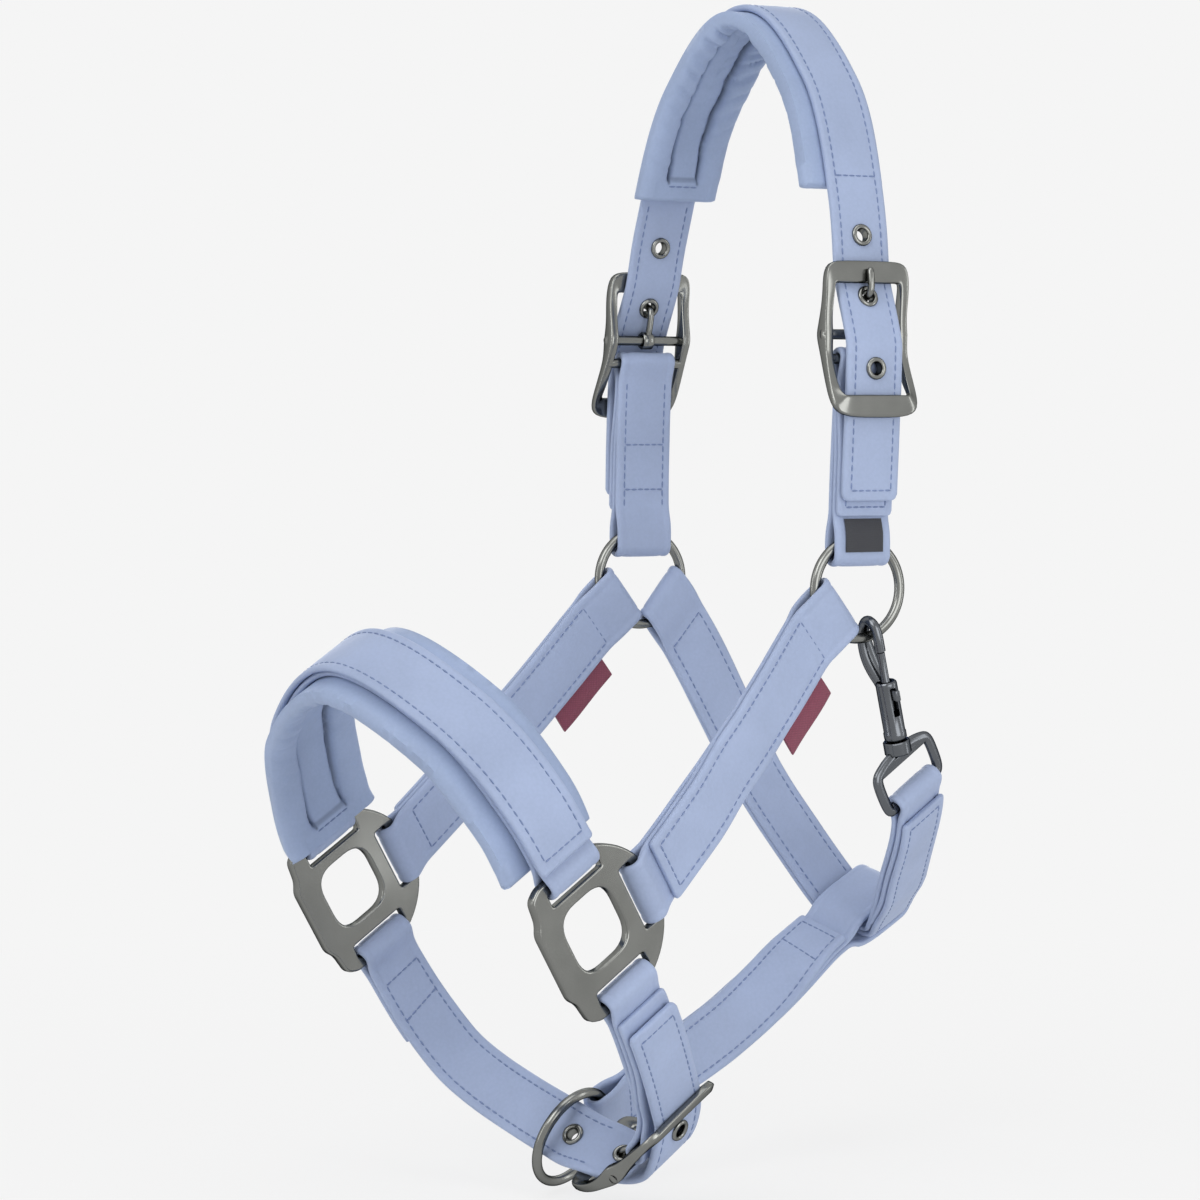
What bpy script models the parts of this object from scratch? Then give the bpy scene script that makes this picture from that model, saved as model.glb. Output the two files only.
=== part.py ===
"""Head halter for a cob-size head, built as separate straps, pads and hardware.

Units are metres in the scene and millimetres in the named sizes below. +Z is up, -Y is the nose,
+X is the wearer's left. The origin is the seat of the crown pad on the poll.
"""
import math

import bmesh
import bpy
from mathutils import Matrix, Vector

MM = 0.001
GAP = 0.3

# Straps
STRAP_W = 25.0
PLY = 2.4
CROWN_PLY = 2.8
LAYER = (PLY + GAP) / 2
LAP_END = 15.0
LAP_LEN = 36.0
CHEEK_LAP = 8.0
TAB_START = 22.0
TAB_LEN = 33.0
TAB_OUT = 9.0
TAB_T = 1.4
LABEL_W = 17.0
LABEL_T = 0.8
SETTLE = 7.0

# Upper hardware stands on both sides of the head, turned a little towards the front
LEG_X = 65.0
BUCKLE_Y = -8.0
BUCKLE_Z = -122.0
RING_Y = -11.0
RING_Z = -221.0
LEG_TURN = math.radians(12)
RING_R = 19.4
WIRE_R = 2.0
CHEEK_ANGLE = math.radians(217)
THROAT_ANGLE = math.radians(322)
SNAP_ANGLE = math.radians(288)

# Pads
PAD_ROLL = 13.5
PAD_SUNK = 0.5
PAD_EASE = 6.0
PAD_CLOSED = 11.0

# Crown
CROWN_PAD_W = 37.0
CROWN_PAD_T = 8.4
CROWN_PAD_END = 63.0
CROWN_PAD_LEAN = 3.0
CROWN_TAIL = 21.0
CROWN_TOP = CROWN_PAD_T + GAP + CROWN_PLY / 2

# Side plates, in their own plane: a runs down and back, b runs up and back
PLATE_X = 75.0
PLATE_Y = -152.2
PLATE_Z = -340.3
PLATE_TILT = math.radians(31)
PLATE_T = 4.0
WINDOW_A = 13.2
WINDOW_B = 12.4
WINDOW_R = 7.4
WINDOW_MID = -1.2
PLATE_R = 31.5
SHOULDER_A = 1.9
SHOULDER_B = 2.8
SLOT = 6.2
RIM = 4.4
# The slots lie inside the plate's round: their rims stop short of it by a shoulder
SLOT_A = PLATE_R - SHOULDER_A - RIM - SLOT
SLOT_B = PLATE_R - SHOULDER_B - RIM - SLOT
SLOT_LEN = STRAP_W + 1.4
PLATE_FRONT = 26.0
EAR_A = 28.2
EAR_B = 23.2
EAR_STEP = 19.6

# Noseband
NOSE_TOP_Y = -206.0
NOSE_TOP_Z = -241.0
NOSE_PAD_W = 43.0
NOSE_PAD_T = 7.5
NOSE_PAD_END = 8.5
NOSE_FACE_END = 9.0

# Chin
CHIN_MID = Vector((0.0, -107.0, -431.0))
CHIN_BEND = [Vector((18.0, -104.5, -435.5)), Vector((34.0, -101.5, -436.0)), Vector((47.5, -100.5, -428.5))]
CHIN_UP = Vector((55.5, -103.5, -411.5))
CHIN_LAP = 7.0
CHIN_TAIL = 12.0
CHIN_TILT = math.radians(58)

# Throat and back straps
THROAT_LOW = Vector((0.0, 55.0, -357.0))
THROAT_TILT = math.radians(26)
THROAT_FLAT = STRAP_W / 2 + 2.0
THROAT_SAG = 1.6
THROAT_LAP = 8.0
LOOP_SLACK = 1.7
LOOP_LAP = STRAP_W + 9.0
TWIST_EASE = 0.35
EYE_TILT = math.radians(30)
LEAD_HANG = 0.5
LEAD_PULL = math.radians(33)

# Buckles, along the strap from the prong bar
TOP_BAR = 24.0
CHAPE_BAR = 9.5
KEEPER = 28.0
CHIN_KEEPER = 25.0
BUCKLE_IN = STRAP_W / 2 + 2.5
BAR_R = 2.0
BAR_FLAT = 4.2
BUCKLE_SECTION = ((1, 0.45), (0.6, 1), (-0.6, 1), (-1, 0.45), (-1, -0.45), (-0.6, -1), (0.6, -1), (1, -0.45))
HUB_R = 3.6
PRONG_R = 1.2
EYELET_R = 4.4
EYELET_HOLE = 2.5
CROWN_EYELETS = (-13.5, 14.0, 39.0)
CHIN_EYELETS = (-15.5, 13.5, 38.0)
EYELET_EASE = (0.1, 0.45, 0.4)

# Snap, along its axis from the ring wire
SNAP_OUT = 5.4
SNAP_HOOK_W = 10.6
SNAP_BARREL = (18.0, 42.0)
SNAP_BARREL_R = 4.6
SNAP_BORE_R = 2.5
SNAP_PIN_R = 2.1
SNAP_HEAD_R = 3.7
BOLT_R = 1.6
BOLT_STEM_R = 2.1
YOKE = (42.6, 48.0)
YOKE_R = 5.4
EYE_DROP = 21.0
EYE_R = 2.1

BLUE = (0.33, 0.42, 0.63, 1)
DARK_BLUE = (0.25, 0.32, 0.52, 1)
METAL = (0.16, 0.16, 0.155, 1)
MAROON = (0.15, 0.02, 0.035, 1)
BLACK = (0.012, 0.012, 0.013, 1)


def material(name, colour, metal=0.0, rough=0.6):
    mat = bpy.data.materials.new(name)
    mat.use_nodes = True
    shader = mat.node_tree.nodes["Principled BSDF"]
    shader.inputs["Base Color"].default_value = colour
    shader.inputs["Metallic"].default_value = metal
    shader.inputs["Roughness"].default_value = rough
    return mat


def leather(name):
    return material(name + "_blue", BLUE, 0.0, 0.6)


def steel(name):
    return material(name + "_gunmetal", METAL, 1.0, 0.35)


def add(name, bm, mat, origin=None):
    """Turn a millimetre bmesh into a named object, its origin on the joint where one is given."""
    bmesh.ops.remove_doubles(bm, verts=bm.verts, dist=1e-4)
    bm.normal_update()
    bmesh.ops.recalc_face_normals(bm, faces=bm.faces)
    start = Vector(origin) if origin else Vector((0, 0, 0))
    for vert in bm.verts:
        vert.co = (vert.co - start) * MM
    mesh = bpy.data.meshes.new(name)
    bm.to_mesh(mesh)
    bm.free()
    obj = bpy.data.objects.new(name, mesh)
    obj.location = start * MM
    obj.data.materials.append(mat)
    bpy.context.scene.collection.objects.link(obj)
    return obj


def boolean(bm, other, kind):
    """Join or cut one bmesh by another; both are used up and the result comes back as a bmesh."""
    pair = []
    for i, part in enumerate((bm, other)):
        part.normal_update()
        bmesh.ops.recalc_face_normals(part, faces=part.faces)
        mesh = bpy.data.meshes.new("tool_%d" % i)
        part.to_mesh(mesh)
        part.free()
        obj = bpy.data.objects.new("tool_%d" % i, mesh)
        bpy.context.scene.collection.objects.link(obj)
        pair.append(obj)
    mod = pair[0].modifiers.new("join", "BOOLEAN")
    mod.operation = kind
    mod.solver = "EXACT"
    mod.object = pair[1]
    bpy.context.view_layer.update()
    done = pair[0].evaluated_get(bpy.context.evaluated_depsgraph_get()).to_mesh()
    out = bmesh.new()
    out.from_mesh(done)
    pair[0].evaluated_get(bpy.context.evaluated_depsgraph_get()).to_mesh_clear()
    for obj in pair:
        mesh = obj.data
        bpy.data.objects.remove(obj)
        bpy.data.meshes.remove(mesh)
    bmesh.ops.remove_doubles(out, verts=out.verts, dist=1e-3)
    return out


class Route:
    """A smooth centreline; at every length it gives the point, run, width and outward directions."""

    def __init__(self, points, widths, start, end, outward=1, pull=1.0, spans=16):
        points = [Vector(p) for p in points]
        widths = [Vector(w).normalized() for w in widths]
        runs = []
        for i, point in enumerate(points):
            if i == 0:
                runs.append(Vector(start).normalized() * (points[1] - point).length * pull)
            elif i == len(points) - 1:
                runs.append(Vector(end).normalized() * (point - points[i - 1]).length * pull)
            else:
                before = (point - points[i - 1]).length
                after = (points[i + 1] - point).length
                lean = (points[i + 1] - points[i - 1]).normalized()
                runs.append(lean * min(before, after))
        self.rows = []
        for i in range(len(points) - 1):
            last = i == len(points) - 2
            for k in range(spans + (1 if last else 0)):
                t = k / spans
                self.rows.append(self.sample(points, runs, widths, i, t, outward))
        self.stops = [0.0]
        for one, two in zip(self.rows, self.rows[1:]):
            self.stops.append(self.stops[-1] + (two[0] - one[0]).length)
        self.length = self.stops[-1]

    @staticmethod
    def sample(points, runs, widths, i, t, outward):
        p, q, m, n = points[i], points[i + 1], runs[i], runs[i + 1]
        spot = (p * (2 * t**3 - 3 * t**2 + 1) + m * (t**3 - 2 * t**2 + t)
                + q * (3 * t**2 - 2 * t**3) + n * (t**3 - t**2))
        run = (p * (6 * t**2 - 6 * t) + m * (3 * t**2 - 4 * t + 1)
               + q * (6 * t - 6 * t**2) + n * (3 * t**2 - 2 * t)).normalized()
        ease = t * t * (3 - 2 * t)
        width = widths[i].lerp(widths[i + 1], ease)
        out = run.cross(width).normalized() * outward
        level = out.cross(run).normalized()
        width = width / abs(width.dot(level))
        return spot, run, width, out

    def at(self, s):
        stops = self.stops
        if s <= 0:
            spot, run, width, out = self.rows[0]
            return spot + run * s, run, width, out
        if s >= self.length:
            spot, run, width, out = self.rows[-1]
            return spot + run * (s - self.length), run, width, out
        low, high = 0, len(stops) - 1
        while high - low > 1:
            mid = (low + high) // 2
            if stops[mid] <= s:
                low = mid
            else:
                high = mid
        f = (s - stops[low]) / (stops[high] - stops[low])
        return tuple(a.lerp(b, f) for a, b in zip(self.rows[low], self.rows[high]))

    def spot(self, s, n=0.0, w=0.0):
        point, _, width, out = self.at(s)
        return point + out * n + width * w

    def find(self, point):
        """Length at which the centreline comes nearest to a point."""
        point = Vector(point)
        best = min(range(len(self.rows)), key=lambda i: (self.rows[i][0] - point).length)
        return self.stops[best]


def tube(rings, closed=False):
    """Skin a list of rings of points; open tubes get flat ends."""
    bm = bmesh.new()
    rows = [[bm.verts.new(p) for p in ring] for ring in rings]
    count = len(rows[0])
    pairs = list(zip(rows, rows[1:]))
    if closed:
        pairs.append((rows[-1], rows[0]))
    for one, two in pairs:
        for i in range(count):
            j = (i + 1) % count
            bm.faces.new((one[i], one[j], two[j], two[i]))
    if not closed:
        bm.faces.new(rows[0])
        bm.faces.new(rows[-1])
    return bm


def ribbon(route, path, width, ply):
    """A flat strap with turned edges that follows a path of (length, height) pairs on a route."""
    half, deep = width / 2, ply / 2
    edge = deep * 0.8
    section = [(half, 0), (half - edge, deep), (-half + edge, deep),
               (-half, 0), (-half + edge, -deep), (half - edge, -deep)]
    rings = []
    for i, (s, n) in enumerate(path):
        before = path[max(i - 1, 0)]
        after = path[min(i + 1, len(path) - 1)]
        ds, dn = after[0] - before[0], after[1] - before[1]
        size = math.hypot(ds, dn)
        ds, dn = ds / size, dn / size
        rings.append([route.spot(s - d * dn, n + d * ds, w) for w, d in section])
    return tube(rings)


def line(s0, s1, n, step=14.0):
    """Points along one layer, close enough to follow the route."""
    count = max(1, int(math.ceil(abs(s1 - s0) / step)))
    return [(s0 + (s1 - s0) * i / count, n) for i in range(count + 1)]


def fold(s, way, inner, reach, ply, top=1, steps=6):
    """A strap end turned round a bar at length s: from the layer on side top to the other one."""
    radius = inner + ply / 2
    points = [(s - way * reach, top * radius)] if reach > 0.5 else []
    for i in range(steps + 1):
        turn = math.pi * (0.5 - i / steps)
        points.append((s + way * radius * math.cos(turn), top * radius * math.sin(turn)))
    if reach > 0.5:
        points.append((s - way * reach, -top * radius))
    return points


def ease(s0, n0, s1, n1):
    """Three points that carry a layer softly from one height to another."""
    return [(s0 + (s1 - s0) * f, n0 + (n1 - n0) * f * f * (3 - 2 * f)) for f in (0.0, 0.35, 0.65, 1.0)]


def folded(start, start_in, start_reach, end, end_in, end_reach, lap_end=LAP_END, lap_len=LAP_LEN, step=14.0,
           layer=LAYER):
    """Path of a strap folded round a bar at both ends, its outer layer lapped over the return."""
    under = end - lap_len
    first, last = start + start_reach + SETTLE, end - end_reach - SETTLE
    path = line(end - lap_end, under - 2, 3 * layer, step)
    path += ease(under - 3, 3 * layer, under - 9, layer)
    path += line(under - 12, first, layer, step)
    path += fold(start, -1, start_in, start_reach, PLY)
    path += line(first, last, -layer, step)
    path += fold(end, 1, end_in, end_reach, PLY, -1)
    return path + line(last, under, layer, step)


def lathe(profile, centre, axis, segs=16):
    """Turn a closed profile of (radius, length) pairs about an axis."""
    axis = Vector(axis).normalized()
    one = axis.orthogonal().normalized()
    two = axis.cross(one)
    bm = bmesh.new()
    rows = []
    for radius, along in profile:
        base = Vector(centre) + axis * along
        if radius < 1e-6:
            rows.append([bm.verts.new(base)] * segs)
            continue
        rows.append([bm.verts.new(base + (one * math.cos(t) + two * math.sin(t)) * radius)
                     for t in (2 * math.pi * k / segs for k in range(segs))])
    closed = profile[0][0] > 1e-6
    pairs = list(zip(rows, rows[1:])) + ([(rows[-1], rows[0])] if closed else [])
    for row, nxt in pairs:
        for k in range(segs):
            j = (k + 1) % segs
            loop = []
            for vert in (row[k], row[j], nxt[j], nxt[k]):
                if vert not in loop:
                    loop.append(vert)
            if len(loop) > 2:
                bm.faces.new(loop)
    return bm


def sweep(points, up, half_a, half_b, closed=False, sides=8):
    """A rounded bar along points; half_a lies across the path, half_b along the up direction."""
    points = [Vector(p) for p in points]
    count = len(points)
    rings = []
    for i, point in enumerate(points):
        before = points[i - 1] if (closed or i) else point
        after = points[(i + 1) % count] if (closed or i < count - 1) else point
        run = (after - before).normalized()
        across = run.cross(Vector(up)).normalized()
        lift = across.cross(run).normalized()
        rings.append([point + across * half_a * math.cos(t) + lift * half_b * math.sin(t)
                      for t in (2 * math.pi * (k + 0.5) / sides for k in range(sides))])
    return tube(rings, closed)


def box(centre, axes, halves):
    bm = bmesh.new()
    bmesh.ops.create_cube(bm, size=2)
    for vert in bm.verts:
        spot = Vector(centre)
        for axis, half, k in zip(axes, halves, vert.co):
            spot = spot + Vector(axis) * half * k
        vert.co = spot
    return bm


# Places that the pieces share

def leg_width():
    return Vector((math.sin(LEG_TURN), math.cos(LEG_TURN), 0))


def ring_out():
    return Vector((math.cos(LEG_TURN), -math.sin(LEG_TURN), 0))


def ring_centre(side):
    return Vector((side * LEG_X, RING_Y, RING_Z))


def ring_way(angle):
    return leg_width() * math.cos(angle) + Vector((0, 0, 1)) * math.sin(angle)


def ring_seat():
    """Distance from a ring's centre to the line that a strap's fold bears on."""
    return math.sqrt((RING_R - WIRE_R)**2 - (STRAP_W * 0.52)**2) - GAP + RING_IN


RING_IN = WIRE_R + GAP
RING_REACH = RING_R + WIRE_R - ring_seat() + GAP
RIM_IN = math.hypot(RIM / 2, PLATE_T / 2) + GAP
RIM_A = SLOT_A + SLOT + RIM / 2
RIM_B = SLOT_B + SLOT + RIM / 2
TAIL_N = 3 * LAYER + PLY / 2 + 3 * GAP + CROWN_PLY / 2


def plate_axes():
    a = Vector((0, math.sin(PLATE_TILT), -math.cos(PLATE_TILT)))
    b = Vector((0, math.cos(PLATE_TILT), math.sin(PLATE_TILT)))
    return a, b


def plate_spot(side, a, b, n=0.0):
    one, two = plate_axes()
    return Vector((side * (PLATE_X + n), PLATE_Y, PLATE_Z)) + one * a + two * b


def crown_route():
    width = leg_width()
    seat = RING_Z + ring_seat()
    rise = CROWN_TOP - BUCKLE_Z
    shoulder_x = LEG_X * 0.95 * math.sqrt(1 - ((-CROWN_PAD_END - BUCKLE_Z) / rise)**2)
    bow_x = LEG_X * 0.57
    bow_z = BUCKLE_Z + rise * math.sqrt(1 - 0.62**2)
    half = [(LEG_X, RING_Y, seat), (LEG_X, BUCKLE_Y, BUCKLE_Z),
            (shoulder_x, BUCKLE_Y / 2, -CROWN_PAD_END), (bow_x, BUCKLE_Y / 6, bow_z)]
    points = [(-x, y, z) for x, y, z in half] + [(0, 0, CROWN_TOP)] + half[::-1]
    return Route(points, [width] * len(points), (0, 0, 1), (0, 0, -1))


def cheek_route(side):
    start = ring_centre(side) + ring_way(CHEEK_ANGLE) * ring_seat()
    end = plate_spot(side, 0, RIM_B)
    a, b = plate_axes()
    width = ring_way(CHEEK_ANGLE + math.pi / 2)
    chord = (end - start).normalized()
    level = (chord - ring_out() * chord.dot(ring_out())).normalized()
    clear = start + level * (RING_REACH + 6)
    mid = start.lerp(end, 0.5) + Vector((2, 0, 0))
    return Route([start, clear, mid, end], [width, width, width + a, a], level, chord * 2 - b, side, 0.6)


def nose_route():
    low = plate_spot(1, -RIM_A, 0)
    top = Vector((0, NOSE_TOP_Y, NOSE_TOP_Z))
    a, b = plate_axes()
    half = []
    for turn, slim in ((0, 1.0), (18, 0.98), (45, 0.95)):
        t = math.radians(turn)
        point = low.lerp(top, math.sin(t))
        half.append((low.x * slim * math.cos(t), point.y, point.z))
    points = [(-x, y, z) for x, y, z in half] + [top] + half[::-1]
    return Route(points, [b] * len(points), -a, a)


def chin_route():
    a, b = plate_axes()
    far = plate_spot(-1, RIM_A, 0)
    near = plate_spot(1, RIM_A, 0)
    bend = far.lerp(CHIN_MID, 0.66)
    bend.x = far.x * 0.70
    width = Vector((0, math.cos(CHIN_TILT), math.sin(CHIN_TILT)))
    points = [far, bend, CHIN_MID] + CHIN_BEND + [CHIN_UP, near]
    widths = [b, b + width, width, b + width * 0.5] + [b] * 4
    return Route(points, widths, a, -a, -1)


def lead_axes(chin):
    """Centre, axis, strap width and outward direction of the lead ring, hung on the chin strap."""
    s = chin.find(CHIN_MID)
    spot, run, width, out = chin.at(s)
    return spot + out * (RING_R * LEAD_HANG), run, run.cross(out).normalized(), out


def snap_axes():
    """Point on the bolt's axis level with the ring wire, then down, out and side directions."""
    wire = ring_centre(1) + ring_way(SNAP_ANGLE) * RING_R
    down = Vector((-0.04, 0.28, -0.96)).normalized()
    out = (ring_out() - down * ring_out().dot(down)).normalized()
    return wire + out * SNAP_OUT, down, out, down.cross(out)


def eye_axes():
    """Yoke centre, bar centre, bar direction and drop direction of the snap's strap eye."""
    spot, down, out, side = snap_axes()
    bar = Vector((0, math.cos(EYE_TILT), math.sin(EYE_TILT)))
    drop = (down - bar * down.dot(bar)).normalized()
    yoke = spot + down * (YOKE[0] + YOKE[1]) / 2
    return yoke, yoke + drop * EYE_DROP, bar, drop


def throat_route():
    start = ring_centre(-1) + ring_way(THROAT_ANGLE) * ring_seat()
    yoke, bar_mid, bar, drop = eye_axes()
    width = Vector((0, math.cos(THROAT_TILT), math.sin(THROAT_TILT)))
    fall = THROAT_LOW - start
    level = fall - ring_out() * fall.dot(ring_out())
    far = start + fall * 0.55 + Vector((-7, 0, -7))
    level = level.normalized() + ring_way(THROAT_ANGLE)
    near = THROAT_LOW.lerp(bar_mid, 0.55) + Vector((5, 2, -10))
    level_run = Vector((0.94, 0.07, -0.33)).normalized() * THROAT_FLAT
    level_run = level_run - width * level_run.dot(width)
    sink = width.cross(level_run).normalized() * THROAT_SAG
    points = [start, far, THROAT_LOW - level_run, THROAT_LOW + sink, THROAT_LOW + level_run, near, bar_mid]
    widths = [ring_way(THROAT_ANGLE + math.pi / 2)] + [width] * 5 + [bar]
    return Route(points, widths, level, -drop - Vector((-0.3, 0, 0)), -1)


def back_route(chin, throat):
    centre, axis, width, out = lead_axes(chin)
    pull = width * math.cos(LEAD_PULL) + out * math.sin(LEAD_PULL)
    tangent = out * math.cos(LEAD_PULL) - width * math.sin(LEAD_PULL)
    spot, run, wide, _ = throat.at(throat.find(THROAT_LOW))
    start = centre + pull * ring_seat()
    end = spot + wide * (STRAP_W / 2 - 1.5)
    neck = end - wide * (STRAP_W + 14)
    clear = start + pull * (RING_REACH + 4)
    mid = clear.lerp(neck, 0.5) + Vector((0, 1, -4))
    widths = [tangent, tangent, tangent + run * 0.9, run, run]
    return Route([start, clear, mid, neck, end], widths, pull, wide)


# Straps

def through_buckle(ply, top, tail):
    """Heights of a fastened strap, from above the buckle down to the end of its tail."""
    lift = HUB_R + GAP + ply / 2
    return [(top + 14, 0.0), (top + 6, -0.3), (top, -0.4), (top - 4, 0.2), (14, 1.9), (11.5, 2.7),
            (7, 4.2), (3.5, lift), (0, (lift + TAIL_N) / 2), (-4, TAIL_N), (-9, TAIL_N),
            (-16, TAIL_N)] + line(-24, tail, TAIL_N)


def height(path, s):
    """Height and slope of a path at one length."""
    for (s0, n0), (s1, n1) in zip(path, path[1:]):
        if min(s0, s1) <= s <= max(s0, s1) and s0 != s1:
            f = (s - s0) / (s1 - s0)
            return n0 + (n1 - n0) * f, (n1 - n0) / (s1 - s0)
    raise ValueError("the strap does not reach %.1f" % s)


def eyelet_frame(route, path, s):
    n, slope = height(path, s)
    spot, run, width, out = route.at(s)
    return spot + out * n, (out - run * slope).normalized()


def cut_eyelets(bm, frames):
    for spot, axis in frames:
        drill = lathe([(0, -5), (3.3, -5), (3.3, 5), (0, 5)], spot, axis, 12)
        bm = boolean(bm, drill, "DIFFERENCE")
    return bm


def eyelet(name, spot, axis, ply, bend=0.0):
    """A rolled eyelet: a tube through the strap with a lip on each face, eased where the strap bends."""
    face = ply / 2 + GAP + bend
    lip = face + 0.9
    profile = [(EYELET_HOLE, -lip + 0.3), (EYELET_HOLE + 0.7, -lip), (EYELET_R - 0.5, -lip + 0.1),
               (EYELET_R, -face), (3.0, -face), (3.0, face), (EYELET_R, face),
               (EYELET_R - 0.5, lip - 0.1), (EYELET_HOLE + 0.7, lip), (EYELET_HOLE, lip - 0.3)]
    return add(name, lathe(profile, spot, axis, 12), steel(name))


def pad(route, s0, s1, top, width, thick, step=13.0, lean=0.0):
    """A cushion under a strap: two soft rolls with a sunk channel between, closed at both ends."""
    half = width / 2
    count = int(math.ceil((s1 - s0) / step))
    stops = [s0, s0 + 1.5, s0 + PAD_EASE, s0 + PAD_CLOSED]
    stops += [s0 + PAD_CLOSED + (s1 - s0 - 2 * PAD_CLOSED) * i / count for i in range(1, count)]
    stops += [s1 - PAD_CLOSED, s1 - PAD_EASE, s1 - 1.5, s1]
    rings = []
    for s in stops:
        end = min(s - s0, s1 - s)
        near = min(1, end / PAD_EASE)
        deep = thick * (0.72 + 0.28 * near**0.5)
        sunk = thick * PAD_SUNK * max(0, min(1, (end - 5) / PAD_EASE))
        wide = half - 2.0 * (1 - near)
        off = -lean * (s - s0) / (s1 - s0)
        section = [(wide, 0.5), (wide - 2.2, 0.12), (wide - 5, 0.0), (-wide + 5, 0.0),
                   (-wide + 2.2, 0.12), (-wide, 0.5), (-wide + 2.4, 0.9), (-wide + PAD_ROLL / 2, 1.0)]
        ring = [route.spot(s, top - deep * f, w + off) for w, f in section]
        ring += [route.spot(s, top - deep + sunk * f, w + off) for w, f in
                 ((-wide + PAD_ROLL - 2.5, 0.15), (-wide + PAD_ROLL, 1.0), (wide - PAD_ROLL, 1.0),
                  (wide - PAD_ROLL + 2.5, 0.15))]
        ring += [route.spot(s, top - deep * f, w + off) for w, f in
                 ((wide - PAD_ROLL / 2, 1.0), (wide - 2.4, 0.9))]
        rings.append(ring)
    return tube(rings)


def build_crown(crown):
    length = crown.length
    bar = crown.find((LEG_X, BUCKLE_Y, BUCKLE_Z))
    reach = length - bar
    near = [(bar - s, n) for s, n in through_buckle(CROWN_PLY, TOP_BAR, CROWN_TAIL - reach)]
    far = [(length - s, n) for s, n in near][::-1]
    path = far + line(far[-1][0] + 12, near[0][0] - 12, 0.0, 8) + near
    bm = ribbon(crown, path, STRAP_W, CROWN_PLY)
    spots = [bar - k for k in CROWN_EYELETS]
    frames = {"left": [eyelet_frame(crown, path, s) for s in spots],
              "right": [eyelet_frame(crown, path, length - s) for s in spots]}
    bm = cut_eyelets(bm, frames["left"] + frames["right"])
    add("crown_strap", bm, leather("crown_strap"))
    for side, holes in frames.items():
        for i, (spot, axis) in enumerate(holes):
            eyelet("crown_eyelet_%s_%d" % (side, i + 1), spot, axis, CROWN_PLY)
    s0 = crown.find(min((row[0] for row in crown.rows[:48]),
                        key=lambda p: abs(p.z + CROWN_PAD_END)))
    top = -CROWN_PLY / 2 - GAP
    bm = pad(crown, s0, length - s0, top, CROWN_PAD_W, CROWN_PAD_T, 13.0, CROWN_PAD_LEAN)
    add("crown_pad", bm, material("crown_pad_blue", DARK_BLUE))
    path = folded(bar + CHAPE_BAR, BAR_R + GAP, 0, length, RING_IN, RING_REACH)
    add("cheek_chape_left", ribbon(crown, path, STRAP_W, PLY), leather("cheek_chape_left"))
    mirror = [(length - s, n) for s, n in path]
    add("cheek_chape_right", ribbon(crown, mirror, STRAP_W, PLY), leather("cheek_chape_right"))
    face = RING_IN + PLY + GAP + 0.4
    top = length - LAP_END + 1.0
    rise = (RING_IN + PLY / 2 - LAYER) * (length - RING_REACH - top) / 7
    label = [(top, face - rise + 0.1), (length - RING_REACH - 2, face - rise * 0.3 + 0.15),
             (length - RING_REACH, face), (length - 1, face)]
    add("size_label", ribbon(crown, label, LABEL_W, LABEL_T), material("size_label_black", BLACK, 0, 0.7))
    return bar


def build_cheeks():
    for side, word in ((1, "left"), (-1, "right")):
        route = cheek_route(side)
        path = folded(0, RING_IN + 0.2, RING_REACH + 1.5, route.length, RIM_IN, 0, CHEEK_LAP)
        name = "cheek_strap_" + word
        add(name, ribbon(route, path, STRAP_W, PLY), leather(name))
        name = "side_tab_" + word
        edge = STRAP_W / 2 + GAP
        rings = []
        for s in (TAB_START, TAB_START + TAB_LEN):
            rings.append([route.spot(s, n, w) for w, n in
                          ((edge, TAB_T / 2), (edge + TAB_OUT, TAB_T / 2),
                           (edge + TAB_OUT, -TAB_T / 2), (edge, -TAB_T / 2))])
        add(name, tube(rings), material(name + "_maroon", MAROON, 0, 0.7))


def build_noseband(nose):
    length = nose.length
    path = line(LAP_LEN, SETTLE, LAYER) + fold(0, -1, RIM_IN, 0, PLY)
    path += line(SETTLE, length - SETTLE, -LAYER, 8)
    path += fold(length, 1, RIM_IN, 0, PLY, -1) + line(length - SETTLE, length - LAP_LEN, LAYER)
    add("noseband_strap", ribbon(nose, path, STRAP_W, PLY), leather("noseband_strap"))
    high, low = 3 * LAYER, LAYER
    half = line(NOSE_FACE_END, LAP_LEN + 2, high) + ease(LAP_LEN + 3, high, LAP_LEN + 9, low)
    path = half + line(LAP_LEN + 14, length - LAP_LEN - 14, low, 8) + [(length - s, n) for s, n in half][::-1]
    add("noseband_facing", ribbon(nose, path, STRAP_W, PLY), leather("noseband_facing"))
    top = -LAYER - PLY / 2 - GAP
    bm = pad(nose, NOSE_PAD_END, length - NOSE_PAD_END, top, NOSE_PAD_W, NOSE_PAD_T, 8.0)
    add("noseband_pad", bm, material("noseband_pad_blue", DARK_BLUE))


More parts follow.
